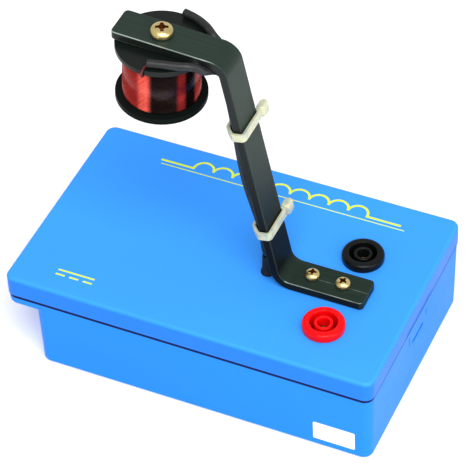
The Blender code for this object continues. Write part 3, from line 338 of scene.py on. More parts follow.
# Painted reflections round the winding: tones by the angle about its axis in degrees
WINDING_REFLECTION_BANDS = (
    (-180, "enamel"), (-126, "enamel"), (-106, "enamel"), (-96, "enamel_light"), (-90, "enamel_light"),
    (-79, "varnish_and_dark_reflection"), (-45, "varnish_and_dark_reflection"), (-38, "enamel_deep"), (-31, "enamel_deep"), (-26, "varnish_and_dark_reflection"),
    (-12, "varnish_and_dark_reflection"), (-6, "enamel"), (50, "enamel_deep"), (180, "enamel"))
# Fineness of the round shapes, and the distance at which two points are one
ROUND_STEPS = 96
SMALL_STEPS = 48
CORNER_STEPS = 14
LOOP_STEPS = 24
EDGE_STEPS = 5
MERGE = 1e-7
# Corner radius of a slot with round ends, as a share of its half width
NEARLY_ROUND = 0.98


# Shapes

def box_mesh(low, high, corner=0.0, top=0.0, bottom=0.0, draft=0.0):
    """A block with rounded upright corners, rounded rims and walls that draw in to the bottom."""
    shape = bmesh.new()
    low, high = Vector(low), Vector(high)
    size = high - low
    place = Matrix.Translation((low + high) / 2) @ Matrix.Diagonal((*size, 1))
    bmesh.ops.create_cube(shape, size=1.0, matrix=place)
    foot = [v for v in shape.verts if v.co.z < (low.z + high.z) / 2]
    taper = Matrix.Diagonal((1 - 2 * draft / size.x, 1 - 2 * draft / size.y, 1))
    middle = Matrix.Translation(-(low + high) / 2)
    bmesh.ops.transform(shape, matrix=taper.to_4x4(), space=middle, verts=foot)
    if corner:
        upright = [e for e in shape.edges if abs(e.verts[0].co.z - e.verts[1].co.z) > size.z / 2]
        bevel(shape, upright, corner, CORNER_STEPS)
    for level, radius in ((high.z, top), (low.z, bottom)):
        if radius:
            rim = [e for e in shape.edges if all(abs(v.co.z - level) < MERGE for v in e.verts)]
            bevel(shape, rim, radius, EDGE_STEPS)
    return shape


def bevel(shape, geometry, radius, segments, affect="EDGES"):
    return bmesh.ops.bevel(shape, geom=geometry, offset=radius, segments=segments, profile=0.5,
                           affect=affect, material=-1)


def turned(profile, steps=ROUND_STEPS, ring=False):
    """A profile of (radius, height) points turned about Z into a closed solid."""
    shape = bmesh.new()
    chain = [shape.verts.new((radius, 0, height)) for radius, height in profile]
    pairs = list(zip(chain, chain[1:]))
    if ring:
        pairs.append((chain[-1], chain[0]))
    lines = [shape.edges.new(pair) for pair in pairs]
    bmesh.ops.spin(shape, geom=chain + lines, cent=(0, 0, 0), axis=(0, 0, 1), angle=math.tau,
                   steps=steps, use_merge=True)
    bmesh.ops.remove_doubles(shape, verts=shape.verts, dist=MERGE)
    bmesh.ops.recalc_face_normals(shape, faces=shape.faces)
    return shape


def oval_ring(profile, spread):
    """A closed profile of (radius, height) points carried round a path with two straight sides."""
    shape = bmesh.new()
    chain = [shape.verts.new((radius, -spread / 2, height)) for radius, height in profile]
    ring = [shape.edges.new(pair) for pair in zip(chain, chain[1:] + chain[:1])]
    for side in (1, -1):
        drawn = bmesh.ops.extrude_edge_only(shape, edges=ring)["geom"]
        chain = [item for item in drawn if isinstance(item, bmesh.types.BMVert)]
        bmesh.ops.translate(shape, vec=(0, side * spread, 0), verts=chain)
        ring = [item for item in drawn
                if isinstance(item, bmesh.types.BMEdge) and set(item.verts) <= set(chain)]
        end = bmesh.ops.spin(shape, geom=chain + ring, cent=(0, side * spread / 2, 0), axis=(0, 0, 1),
                             angle=math.pi, steps=SMALL_STEPS // 2)["geom_last"]
        ring = [item for item in end if isinstance(item, bmesh.types.BMEdge)]
    bmesh.ops.remove_doubles(shape, verts=shape.verts, dist=MERGE)
    bmesh.ops.recalc_face_normals(shape, faces=shape.faces)
    return shape


def rod(radius, low, high, steps=SMALL_STEPS):
    """An upright round rod from one height to another."""
    return turned([(0, high), (radius, high), (radius, low), (0, low)], steps)


def moved(shape, place):
    """The shape carried to a place, given as a matrix or a point."""
    if not isinstance(place, Matrix):
        place = Matrix.Translation(place)
    bmesh.ops.transform(shape, matrix=place, verts=shape.verts)
    return shape


def tinted(shape, slot):
    for face in shape.faces:
        face.material_index = slot
    return shape


def joined(shapes):
    """Several shapes in one mesh."""
    whole = shapes[0]
    for shape in shapes[1:]:
        mesh = bpy.data.meshes.new("part")
        shape.to_mesh(mesh)
        shape.free()
        whole.from_mesh(mesh)
        bpy.data.meshes.remove(mesh)
    return whole


def combined(shape, steps):
    """The shape after a list of (operation, other shape) Boolean steps."""
    made = []
    for solid in [shape] + [other for _, other in steps]:
        mesh = bpy.data.meshes.new("solid")
        solid.to_mesh(mesh)
        solid.free()
        made.append(bpy.data.objects.new("solid", mesh))
        bpy.context.scene.collection.objects.link(made[-1])
        for _ in range(2):
            mesh.materials.append(None)
    for (operation, _), other in zip(steps, made[1:]):
        change = made[0].modifiers.new(operation, "BOOLEAN")
        change.object = other
        change.operation = operation
        change.solver = "EXACT"
    result = bmesh.new()
    result.from_object(made[0], bpy.context.evaluated_depsgraph_get())
    for thing in made:
        mesh = thing.data
        bpy.data.objects.remove(thing)
        bpy.data.meshes.remove(mesh)
    bmesh.ops.remove_doubles(result, verts=result.verts, dist=MERGE)
    return result


def cut_away(*shapes):
    return [("DIFFERENCE", shape) for shape in shapes]


def added(*shapes):
    return [("UNION", shape) for shape in shapes]


def arc(centre, radius, start, end, steps):
    """Flat points on an arc, angles in degrees."""
    points = []
    for i in range(steps + 1):
        turn = math.radians(start + (end - start) * i / steps)
        points.append((centre[0] + radius * math.cos(turn), centre[1] + radius * math.sin(turn)))
    return points


def filleted(corners, radii, steps):
    """A path through the corners, each rounded to its radius, or kept sharp at radius 0."""
    path = []
    neighbours = zip(corners[-1:] + corners, corners, corners[1:] + corners[:1])
    for (before, corner, after), radius in zip(neighbours, radii):
        if not radius:
            path.append(corner)
            continue
        back = (before - corner).normalized()
        ahead = (after - corner).normalized()
        half = back.angle(ahead) / 2
        centre = corner + (back + ahead).normalized() * (radius / math.sin(half))
        start = (corner + back * (radius / math.tan(half)) - centre).normalized()
        end = (corner + ahead * (radius / math.tan(half)) - centre).normalized()
        path += [centre + start.slerp(end, i / steps) * radius for i in range(steps + 1)]
    return path


def eased(profile, steps=3):
    """A closed profile of (radius, height, rounding) points with its corners rounded."""
    corners = [Vector((radius, 0, height)) for radius, height, _ in profile]
    path = filleted(corners, [rounding for _, _, rounding in profile], steps)
    return [(p.x, p.z) for p in path]


def smooth_path(points, spacing):
    """Even points on a smooth curve through a list of Vectors."""
    ends = [points[0] * 2 - points[1]] + points + [points[-1] * 2 - points[-2]]
    path = []
    for a, b, c, d in zip(ends, ends[1:], ends[2:], ends[3:]):
        pieces = max(2, round((c - b).length / spacing))
        for i in range(pieces):
            t = i / pieces
            path.append(0.5 * (2 * b + (c - a) * t + (2 * a - 5 * b + 4 * c - d) * t ** 2
                               + (3 * b - a - 3 * c + d) * t ** 3))
    path.append(points[-1])
    return path


def tube(path, radius, sides=4, swell=None):
    """A round wire or sleeve along a path, as a mesh; swell gives its width's factor at each point."""
    curve = bpy.data.curves.new("tube", "CURVE")
    curve.dimensions = "3D"
    curve.bevel_depth = radius
    curve.bevel_resolution = sides
    curve.use_fill_caps = True
    spline = curve.splines.new("POLY")
    spline.points.add(len(path) - 1)
    for i, (point, place) in enumerate(zip(spline.points, path)):
        point.co = (*place, 1.0)
        if swell:
            point.radius = swell(i)
    holder = bpy.data.objects.new("tube", curve)
    bpy.context.scene.collection.objects.link(holder)
    skin = bpy.data.meshes.new_from_object(holder.evaluated_get(bpy.context.evaluated_depsgraph_get()))
    shape = bmesh.new()
    shape.from_mesh(skin)
    bpy.data.objects.remove(holder)
    bpy.data.curves.remove(curve)
    bpy.data.meshes.remove(skin)
    bmesh.ops.remove_doubles(shape, verts=shape.verts, dist=MERGE)
    return shape


def piece(name, shape, finishes, nodes=(), crease=34.0, flat_weight=True):
    """A finished object from a shape: it rides on the body and stands for its CAD nodes."""
    for face in shape.faces:
        face.smooth = True
    for edge in shape.edges:
        edge.smooth = edge.is_manifold and edge.calc_face_angle() < math.radians(crease)
    mesh = bpy.data.meshes.new(name)
    shape.to_mesh(mesh)
    shape.free()
    for finish in finishes:
        mesh.materials.append(finish.material)
    made = bpy.data.objects.new(name, mesh)
    bpy.context.scene.collection.objects.link(made)
    if flat_weight:
        normals = made.modifiers.new("normals", "WEIGHTED_NORMAL")
        normals.keep_sharp = True
    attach(made, BODY)
    if nodes:
        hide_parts(*nodes)
    return made


# Finishes

class Finish:
    """A procedural material, built up one effect at a time."""

    def __init__(self, name, tone, roughness, metallic=0.0, specular=0.5):
        self.material = bpy.data.materials.new(name)
        self.material.use_nodes = True
        self.material.diffuse_color = (*tone, 1.0)
        self.shader = self.material.node_tree.nodes["Principled BSDF"]
        self.set("Base Color", (*tone, 1.0))
        self.set("Roughness", roughness)
        self.set("Metallic", metallic)
        self.set("Specular IOR Level", specular)
        self.place = self.node("ShaderNodeTexCoord").outputs["Object"]
        self.relief = None

    def set(self, socket, value):
        """Set a shader input to a value or link it to an output."""
        if isinstance(value, bpy.types.NodeSocket):
            self.material.node_tree.links.new(value, self.shader.inputs[socket])
        else:
            self.shader.inputs[socket].default_value = value
        return self

    def node(self, kind, inputs=None, **settings):
        made = self.material.node_tree.nodes.new(kind)
        for key, value in settings.items():
            setattr(made, key, value)
        for key, value in (inputs or {}).items():
            if isinstance(value, bpy.types.NodeSocket):
                self.material.node_tree.links.new(value, made.inputs[key])
            else:
                made.inputs[key].default_value = value
        return made

    def about(self, place):
        """Object coordinates as seen from another place."""
        back = place.inverted()
        settings = {"Vector": self.place, "Location": back.translation, "Rotation": back.to_euler()}
        return self.node("ShaderNodeMapping", settings).outputs[0]

    def attribute(self, name):
        """A vector that the mesh carries itself."""
        return self.node("ShaderNodeAttribute", attribute_name=name).outputs["Vector"]

    def grain(self, size, stretch=(1, 1, 1), detail=3.0, at=None):
        """Noise with grains of about a size in metres, drawn out by the stretch."""
        scale = [1 / (size * s) for s in stretch]
        at = self.node("ShaderNodeMapping", {"Vector": at or self.place, "Scale": scale}).outputs[0]
        return self.node("ShaderNodeTexNoise", {"Vector": at, "Scale": 1.0, "Detail": detail}).outputs[0]

    def ranged(self, value, low, high, start=0.0, end=1.0):
        """A value from low to high brought to the range from start to end."""
        inputs = {"Value": value, "From Min": low, "From Max": high, "To Min": start, "To Max": end}
        return self.node("ShaderNodeMapRange", inputs).outputs[0]

    def axis(self, name, at=None):
        """One coordinate of the place on the object, or of another vector."""
        return self.node("ShaderNodeSeparateXYZ", {"Vector": at or self.place}).outputs[name]

    def mixed(self, tone, *factors):
        """The colour so far mixed with a tone, by the product of the factors."""
        factor = factors[0]
        for other in factors[1:]:
            factor = self.node("ShaderNodeMath", {0: factor, 1: other}, operation="MULTIPLY").outputs[0]
        made = self.node("ShaderNodeMix", {0: factor, 7: (*tone, 1.0)}, data_type="RGBA")
        base = self.shader.inputs["Base Color"]
        if base.is_linked:
            self.material.node_tree.links.new(base.links[0].from_socket, made.inputs[6])
        else:
            made.inputs[6].default_value = base.default_value
        return self.set("Base Color", made.outputs[2])

    def mottle(self, tone, size, stretch=(1, 1, 1), low=0.35, high=0.75, detail=3.0, at=None):
        """Patches of another tone."""
        return self.mixed(tone, self.ranged(self.grain(size, stretch, detail, at), low, high))

    def sheen(self, start, end, size, stretch=(1, 1, 1), at=None):
        """Roughness that wanders between two values."""
        return self.set("Roughness", self.ranged(self.grain(size, stretch, 3.0, at), 0.3, 0.7, start, end))

    def bump(self, depth, size, stretch=(1, 1, 1), detail=3.0, at=None):
        """Fine relief of a depth in metres, on top of any relief so far."""
        inputs = {"Height": self.grain(size, stretch, detail, at), "Distance": depth, "Strength": 1.0}
        if self.relief:
            inputs["Normal"] = self.relief
        self.relief = self.node("ShaderNodeBump", inputs).outputs[0]
        return self.set("Normal", self.relief)


def tone_of(name, factor=1.0):
    """A colour from the colour properties, made lighter or darker by a factor."""
    return tuple(min(1.0, c * factor) for c in getattr(bpy.context.scene.em_colour, name))


def moulded(name, tone_name, roughness=0.38, specular=0.16):
    """Moulded plastic: faint flow marks, a fine grain and an uneven sheen."""
    finish = Finish(name, tone_of(tone_name), roughness, specular=specular)
    finish.mottle(tone_of(tone_name, 1.04), 30 * MM, (2.0, 1.0, 1.0))
    finish.mottle(tone_of(tone_name, 0.93), 0.5 * MM, low=0.55, high=0.8)
    finish.sheen(roughness - 0.03, roughness + 0.05, 20 * MM)
    finish.bump(0.01 * MM, 0.35 * MM, detail=2.0)
    return finish


def metal(name, tone_name, roughness=0.28, wear=0.8):
    """Plated or bare metal with fine turning marks and a patchy tarnish."""
    finish = Finish(name, tone_of(tone_name), roughness, metallic=1.0)
    finish.mottle(tone_of(tone_name, wear), 2.5 * MM)
    finish.sheen(roughness - 0.04, roughness + 0.1, 1.5 * MM)
    finish.bump(0.002 * MM, 0.2 * MM, detail=2.0)
    return finish


# Places

def lid_top():
    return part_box("lid")[1].z


def foot_bend():
    """Where the outer faces of the foot and the arm meet along X."""
    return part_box("bracket")[1].x - bpy.context.scene.em_bracket.foot


def bush_place():
    sizes = bpy.context.scene.em_lead
    return Vector((foot_bend() - sizes.bush_behind, middle_of("bracket").y + sizes.bush_offset, lid_top()))


def bush_radii():
    """The bush's bore, neck and hole about each lead, and the distance between the leads."""
    sizes = bpy.context.scene.em_lead
    gap = bpy.context.scene.em_box.seat_gap
    bore = sizes.sleeve / 2 + gap
    return bore, bore + sizes.bush_wall, bore + sizes.bush_wall + gap, sizes.sleeve + gap


def arm_place():
    """Origin at the outer corner of the foot's bend, Z up the arm, X out of its outer face."""
    sizes = bpy.context.scene.em_bracket
    foot_top = lid_top() + bpy.context.scene.em_box.seat_gap + sizes.thickness
    return Matrix.Translation((foot_bend(), 0, foot_top)) @ Matrix.Rotation(-sizes.lean, 4, "Y")


def coil_place():
    """Origin under the strip on the coil's axis, Z up along that axis."""
    sizes = bpy.context.scene.em_bracket
    corner = arm_place() @ Vector((0, 0, sizes.arm))
    along = Vector((-math.cos(sizes.rise), 0, math.sin(sizes.rise)))
    down = Vector((-math.sin(sizes.rise), 0, -math.cos(sizes.rise)))
    seat = corner + along * sizes.coil_reach + down * sizes.thickness
    seat.y = middle_of("bracket").y
    return Matrix.Translation(seat) @ Matrix.Rotation(sizes.rise, 4, "Y")


def middle_of(node):
    low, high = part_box(node)
    return (low + high) / 2


# Pieces

def build_lid():
    sizes = bpy.context.scene.em_box
    high = lid_top()
    low = high - sizes.skirt
    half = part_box("lid")[1]
    shell = box_mesh((-half.x, -half.y, low), (half.x, half.y, high), sizes.corner, sizes.lid_edge,
                     sizes.parting_edge)
    inner = Vector((half.x - sizes.lid_wall, half.y - sizes.lid_wall, high - sizes.plate))
    hollow = box_mesh((-inner.x, -inner.y, low - sizes.skirt), inner, sizes.corner - sizes.lid_wall,
                      sizes.parting_edge)

    wall_inside = half.x - sizes.set_back - sizes.base_wall - sizes.draft
    snap_out = wall_inside - sizes.seat_gap
    hook_out = half.x - sizes.set_back - sizes.base_wall / 2
    hook_z = sizes.base_height - sizes.window_drop
    reach = sizes.snap_width / 2
    snap = box_mesh((snap_out - sizes.snap_wall, sizes.latch_y - reach, hook_z - 2 * sizes.hook_height),
                    (snap_out, sizes.latch_y + reach, high - sizes.plate / 2))
    reach -= sizes.seat_gap
    hook = box_mesh((snap_out - sizes.snap_wall / 2, sizes.latch_y - reach, hook_z - sizes.hook_height / 2),
                    (hook_out, sizes.latch_y + reach, hook_z + sizes.hook_height / 2))
    groove_z = low + sizes.groove_rise
    groove = box_mesh((half.x - sizes.groove_size, sizes.latch_y - sizes.pry_width / 2, groove_z),
                      (half.x + sizes.seat_gap, sizes.latch_y + sizes.pry_width / 2,
                       groove_z + sizes.groove_size))

    holes = [(middle_of(n), bpy.context.scene.em_socket.barrel / 2) for n in ("black_socket", "red_socket")]
    holes += [(middle_of(n), bpy.context.scene.em_screw.foot_shank / 2)
              for n in ("foot_screw_left", "foot_screw_right")]
    drilled = [moved(rod(radius + sizes.seat_gap, inner.z - sizes.plate, high + sizes.plate),
                     (centre.x, centre.y, 0)) for centre, radius in holes]
    hole, spread = bush_radii()[2:]
    slot = box_mesh((-hole, -hole - spread / 2, -2 * sizes.plate), (hole, hole + spread / 2, sizes.plate),
                    hole * NEARLY_ROUND)
    drilled.append(moved(slot, bush_place()))
    shell = combined(shell, cut_away(hollow) + added(snap, hook) + cut_away(groove, *drilled))
    plastic = moulded("lid_plastic", "lid", 0.38, 0.1)
    level = plastic.axis("Z")
    # Painted shade: the darker skirt blue fades in below the top edge's rounding
    skirt_shade = plastic.ranged(level, high - sizes.lid_edge * 1.2, high - sizes.lid_edge * 0.2, 1.0, 0.0)
    plastic.mixed(tone_of("skirt"), skirt_shade)
    shade = plastic.ranged(level, low + 1.2 * sizes.parting_edge, low + 2.2 * sizes.parting_edge, 1.0, 0.0)
    plastic.mixed(tone_of("parting"), shade)
    piece("lid_shell", shell, [plastic], ["lid"])


def build_base():
    sizes = bpy.context.scene.em_box
    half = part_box("lid")[1] - Vector((sizes.set_back, sizes.set_back, 0))
    high = sizes.base_height
    left = -half.x + sizes.step
    ledge_low = high - sizes.ledge
    overlap = sizes.corner * 2
    tray = box_mesh((left, -half.y, 0), (half.x, half.y, high), sizes.corner, sizes.parting_edge,
                    sizes.base_edge, sizes.draft)
    ledge_draft = sizes.draft * sizes.ledge / high
    ledge = box_mesh((-half.x, -half.y, ledge_low), (left + overlap, half.y, high), sizes.corner,
                     sizes.parting_edge, sizes.ledge_edge, ledge_draft)

    radius = sizes.ledge_fillet
    reach = half.y - sizes.corner
    wedge = box_mesh((left - radius, -reach, ledge_low - radius),
                     (left + sizes.base_wall / 2, reach, ledge_low + sizes.ledge_wall / 2))
    under = Matrix.Translation((left - radius, 0, ledge_low - radius))
    scoop = moved(rod(radius, -half.y, half.y), under @ Matrix.Rotation(math.pi / 2, 4, "X"))
    wedge = combined(wedge, cut_away(scoop))

    inner = half - Vector((sizes.base_wall, sizes.base_wall, 0))
    above = high + 2 * sizes.rim_rise
    inner_corner = sizes.corner - sizes.lid_wall
    hollow = box_mesh((left + sizes.base_wall, -inner.y, sizes.base_floor), (inner.x, inner.y, above),
                      inner_corner, 0, sizes.parting_edge, sizes.draft)
    ledge_hollow = box_mesh((-inner.x, -inner.y, ledge_low + sizes.ledge_wall),
                            (left + overlap, inner.y, above), inner_corner)

    fit = sizes.lid_wall + sizes.seat_gap - sizes.set_back
    rim = box_mesh((-half.x + fit, -half.y + fit, high - sizes.base_wall),
                   (half.x - fit, half.y - fit, high + sizes.rim_rise), inner_corner, sizes.parting_edge)
    inset = fit + sizes.rim_wall
    rim_hollow = box_mesh((-half.x + inset, -half.y + inset, 0), (half.x - inset, half.y - inset, above),
                          inner_corner / 2)
    notch = sizes.snap_width / 2 + 2 * sizes.seat_gap
    rim_notch = box_mesh((inner.x - 2 * sizes.rim_wall, sizes.latch_y - notch, 0),
                         (half.x + sizes.seat_gap, sizes.latch_y + notch, above))
    rim = combined(rim, cut_away(rim_hollow, rim_notch))

    wall_in = inner.x - 2 * sizes.draft
    wall_out = half.x + sizes.set_back + sizes.seat_gap
    slot_top = high - sizes.slot_drop
    openings = []
    for side in (-1, 1):
        middle = sizes.latch_y + side * sizes.latch_width / 2
        openings.append(box_mesh((wall_in, middle - sizes.slot_width / 2, slot_top - sizes.slot_height),
                                 (wall_out, middle + sizes.slot_width / 2, slot_top)))
    window_z = high - sizes.window_drop
    across = sizes.window_length / 2
    rise = sizes.window_height / 2
    openings.append(box_mesh((wall_in, sizes.latch_y - across, window_z - rise),
                             (wall_out, sizes.latch_y + across, window_z + rise)))
    openings.append(box_mesh((half.x - sizes.pry_depth, sizes.latch_y - sizes.pry_width / 2,
                              high - sizes.pry_height),
                             (wall_out, sizes.latch_y + sizes.pry_width / 2, high)))
    tray = combined(tray, added(ledge, wedge) + cut_away(hollow, ledge_hollow) + added(rim)
                    + cut_away(*openings))
    plastic = moulded("base_plastic", "base", 0.42, 0.08)
    shade = plastic.ranged(plastic.axis("Z"), high - 5 * sizes.parting_edge, high - 3.4 * sizes.parting_edge)
    plastic.mixed(tone_of("parting"), shade)
    piece("base_tray", tray, [plastic], ["base"])


def build_bracket():
    """The strip, with its distance along the bends kept in the mesh for the brushed lines."""
    sizes = bpy.context.scene.em_bracket
    screws = bpy.context.scene.em_screw
    low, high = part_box("bracket")
    place = arm_place()
    foot_corner = place.translation
    top_corner = place @ Vector((0, 0, sizes.arm))
    along = Vector((-math.cos(sizes.rise), 0, math.sin(sizes.rise)))
    corners = [foot_corner + Vector((sizes.foot, 0, 0)), foot_corner, top_corner,
               top_corner + along * sizes.top]
    path = filleted(corners, (0, sizes.foot_radius, sizes.top_radius, 0), 20)

    strip = bmesh.new()
    chain = [strip.verts.new((p.x, low.y, p.z)) for p in path]
    lines = [strip.edges.new(pair) for pair in zip(chain, chain[1:])]
    swept = bmesh.ops.extrude_edge_only(strip, edges=lines)["geom"]
    far = [v for v in swept if isinstance(v, bmesh.types.BMVert)]
    bmesh.ops.translate(strip, vec=(0, high.y - low.y, 0), verts=far)
    ends = [v for v in strip.verts if len(v.link_edges) == 2]
    bevel(strip, ends, sizes.corner, 8, "VERTICES")
    bmesh.ops.recalc_face_normals(strip, faces=strip.faces)
    if max(strip.faces, key=lambda f: f.calc_center_median().z).normal.z < 0:
        bmesh.ops.reverse_faces(strip, faces=strip.faces)
    bmesh.ops.solidify(strip, geom=strip.faces[:], thickness=sizes.thickness)
    bmesh.ops.recalc_face_normals(strip, faces=strip.faces)
    # The rounded edges take the second finish, which carries the painted edge highlight
    rims = [e for e in strip.edges if e.calc_face_angle(0.0) > math.radians(50)]
    for face in bevel(strip, rims, sizes.edge, 3)["faces"]:
        face.material_index = 1

    gap = bpy.context.scene.em_box.seat_gap
    holes = []
    for node in ("foot_screw_left", "foot_screw_right"):
        hole = rod(screws.foot_shank / 2 + gap, -2 * sizes.thickness, sizes.thickness)
        holes.append(moved(hole, (middle_of(node).x, middle_of(node).y, foot_corner.z)))
    hole = rod(screws.coil_shank / 2 + gap, -sizes.thickness, 2 * sizes.thickness)
    holes.append(moved(hole, coil_place()))
    strip = combined(strip, cut_away(*holes))
    finishes = [bracket_paint(foot_corner.z, top_corner.z), bracket_edge(foot_corner.z, top_corner)]
    made = piece("bracket_strip", strip, finishes, ["bracket"])
    keep_distance(made.data, path)


def bracket_paint(foot_top, top):
    """Black paint with brushed lines, a painted dark reflection low on the arm, painted shade on the front
    face, and a scribed line on the foot.
    """
    sizes = bpy.context.scene.em_bracket
    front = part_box("bracket")[0].y
    paint = Finish("bracket_paint", tone_of("bracket"), 0.42)
    lines = paint.attribute("along")
    brushed = (60.0, 1.0, 1.0)
    paint.mottle(tone_of("bracket", 1.7), 0.35 * MM, brushed, 0.45, 0.8, at=lines)
    paint.mottle(tone_of("bracket", 0.6), 0.22 * MM, brushed, 0.55, 0.8, at=lines)
    paint.sheen(0.32, 0.52, 0.3 * MM, brushed, at=lines)
    paint.bump(0.02 * MM, 0.25 * MM, brushed, at=lines)

    bend = foot_top + sizes.foot_radius
    level = paint.axis("Z")
    # Painted dark reflection on the arm, fading out upwards and kept off the foot
    dark_reflection_low_on_arm = paint.ranged(level, bend + 10 * sizes.foot_radius, bend + 2 * sizes.foot_radius, 0.0, 0.85)
    off_foot = paint.ranged(level, foot_top + sizes.edge, bend)
    paint.mixed(tone_of("rubber", 0.4), dark_reflection_low_on_arm, off_foot)
    # Painted shade on the strip's front face
    painted_light_in_front = paint.ranged(paint.axis("Y"), front, front + sizes.edge / 4, 0.75, 0.0)
    paint.mixed(tone_of("rubber", 0.5), painted_light_in_front)
    high_on_arm = top - 2 * sizes.top_radius
    gloss = paint.ranged(level, bend + 3 * sizes.foot_radius, high_on_arm, 0.06, 0.2)
    paint.set("Specular IOR Level", gloss)

    scribed = {0: paint.axis("Y", lines), 1: front + sizes.scratch}
    offset = paint.node("ShaderNodeMath", scribed, operation="SUBTRACT").outputs[0]
    offset = paint.node("ShaderNodeMath", {0: offset}, operation="ABSOLUTE").outputs[0]
    paint.mixed(tone_of("bracket_edge"),
                paint.ranged(offset, 0.05 * MM, 0.18 * MM, 0.45, 0.0),
                paint.ranged(paint.axis("X", lines), sizes.foot * 0.75, sizes.foot * 0.8, 1.0, 0.0),
                paint.ranged(paint.grain(3 * MM), 0.35, 0.6, 0.3))
    return paint


def bracket_edge(foot_top, top_corner):
    """Painted highlight along the front edges of the top and of the foot, where the paint is also worn thin.
    """
    sizes = bpy.context.scene.em_bracket
    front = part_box("bracket")[0].y
    edge = Finish("bracket_edge", tone_of("bracket"), 0.35, specular=0.3)
    level = edge.axis("Z")
    painted_light_in_front = edge.ranged(edge.axis("Y"), front + sizes.edge, front + 3 * sizes.edge, 1.0, 0.0)
    before_bend = (top_corner.x - sizes.top_radius, top_corner.x - sizes.thickness)
    # Painted highlight along the top's front edge before the bend, in patches
    edge.mixed(tone_of("bracket_edge"),
               edge.ranged(level, top_corner.z - sizes.thickness / 2, top_corner.z - sizes.edge),
               edge.ranged(edge.axis("X"), *before_bend, 1.0, 0.0), painted_light_in_front,
               edge.ranged(edge.grain(7 * MM), 0.3, 0.6, 0.5))
    # Painted highlight along the foot's top front edge, in patches
    edge.mixed(tone_of("bracket_edge"),
               edge.ranged(level, foot_top - sizes.edge / 2, foot_top - sizes.edge / 4),
               edge.ranged(level, foot_top + 2 * sizes.edge, foot_top + sizes.edge), painted_light_in_front,
               edge.ranged(edge.grain(5 * MM), 0.3, 0.6, 0.3, 0.9))
    edge.bump(0.02 * MM, 0.4 * MM)
    return edge


def keep_distance(mesh, path):
    """Give each vertex its distance along the path, its place across and its depth."""
    lengths = [0.0]
    for a, b in zip(path, path[1:]):
        lengths.append(lengths[-1] + (b - a).length)
    across = Vector((1, 0, 1))
    kept = mesh.attributes.new("along", "FLOAT_VECTOR", "POINT")
    for vertex, value in zip(mesh.vertices, kept.data):
        flat = vertex.co * across
        best = None
        for i, (a, b) in enumerate(zip(path, path[1:])):
            step = (b - a) * across
            t = max(0.0, min(1.0, (flat - a * across).dot(step) / step.length_squared))
            gap = (a * across + step * t - flat).length
            if best is None or gap < best[0]:
                best = (gap, lengths[i] + t * (lengths[i + 1] - lengths[i]))
        value.vector = (best[1], vertex.co.y, best[0])


def pan_screw(head, height, shank, length_below, turn):
    """A pan head screw with a tapered cross recess, the head's underside at height 0."""
    sizes = bpy.context.scene.em_screw
    crown = height * sizes.crown
    power = 2 / sizes.squareness
    arc_points = [(math.sin(math.pi / 2 * i / 12), math.cos(math.pi / 2 * i / 12)) for i in range(13)]
    profile = [(head / 2 * max(0.0, out) ** power, height - crown + crown * max(0.0, up) ** power)
               for out, up in arc_points]
    tip = shank * TIP_CHAMFER
    profile += [(head / 2, RIM_CHAMFER * height), (head / 2 - RIM_CHAMFER * height, 0), (shank / 2, 0),
                (shank / 2, -length_below + tip), (shank / 2 - tip, -length_below), (0, -length_below)]
    reach = head * sizes.recess_reach
    width = head * sizes.recess_width / 2
    depth = height * sizes.recess_depth
    above = height * 1.2
    bars = []
    for quarter in (0, math.pi / 2):
        arm = box_mesh((-reach, -width, height - depth), (reach, width, above), draft=width * 0.4)
        bars.append(moved(arm, Matrix.Rotation(quarter, 4, "Z")))
    centre = turned([(0, above), (width * 2.2, above), (width * 1.2, height - depth * 1.05),
                     (0, height - depth * 1.3)], 24)
    cross = combined(bars[0], added(bars[1], centre))
    # The cross's faces keep slot 1, the finish with the painted recess shade
    screw = combined(turned(profile, SMALL_STEPS), cut_away(tinted(cross, 1)))
    return moved(screw, Matrix.Rotation(turn, 4, "Z"))


def build_screws():
    sizes = bpy.context.scene.em_screw
    gap = bpy.context.scene.em_box.seat_gap
    for side, turn in (("left", sizes.left_turn), ("right", sizes.right_turn)):
        node = "foot_screw_" + side
        low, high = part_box(node)
        seat = Vector((middle_of(node).x, middle_of(node).y, high.z - sizes.foot_height))
        screw = pan_screw(sizes.foot_head, sizes.foot_height, sizes.foot_shank, seat.z - low.z, turn)
        # The second finish is the painted shade in the cross
        finishes = [metal(node + "_plating", "plating"), metal(node + "_recess", "recess", 0.45)]
        piece(node + "_turned", moved(screw, seat), finishes, [node])
    seat = coil_place() @ Vector((0, 0, bpy.context.scene.em_bracket.thickness + gap))
    place = coil_place()
    place.translation = seat
    screw = pan_screw(sizes.coil_head, sizes.coil_height, sizes.coil_shank,
                      bpy.context.scene.em_bracket.thickness + gap + sizes.coil_grip, sizes.coil_turn)
    finishes = [metal("coil_screw_plating", "plating"), metal("coil_screw_recess", "recess", 0.45)]
    piece("coil_screw_turned", moved(screw, place), finishes, ["coil_screw"])


def socket_profile(sizes, gap):
    """The insulating body, heights from the lid's top."""
    top = gap + sizes.height
    ring_top = top - sizes.ring_drop
    groove = sizes.groove / 2
    ring = sizes.ring / 2
    barrel = sizes.barrel / 2
    mouth = sizes.mouth / 2
    pin_bore = sizes.pin / 2 + gap
    sleeve_bore = sizes.bore / 2 + sizes.contact_wall + gap
    lip_low = ring_top - sizes.lip
    floor = -sizes.barrel_length + sizes.floor
    ease = sizes.ease
    return eased([
        (groove, top, ease), (sizes.flange / 2, top, sizes.edge), (sizes.flange / 2, gap, 0.1 * MM),
        (barrel, gap, 0), (barrel, -sizes.barrel_length, ease), (pin_bore, -sizes.barrel_length, 0),
        (pin_bore, floor, 0), (sleeve_bore, floor, 0), (sleeve_bore, lip_low, 0), (mouth, lip_low, 0),
        (mouth, ring_top, ease), (ring, ring_top, ease), (ring, -sizes.groove_depth, 0),
        (groove, -sizes.groove_depth, 0)], 5)


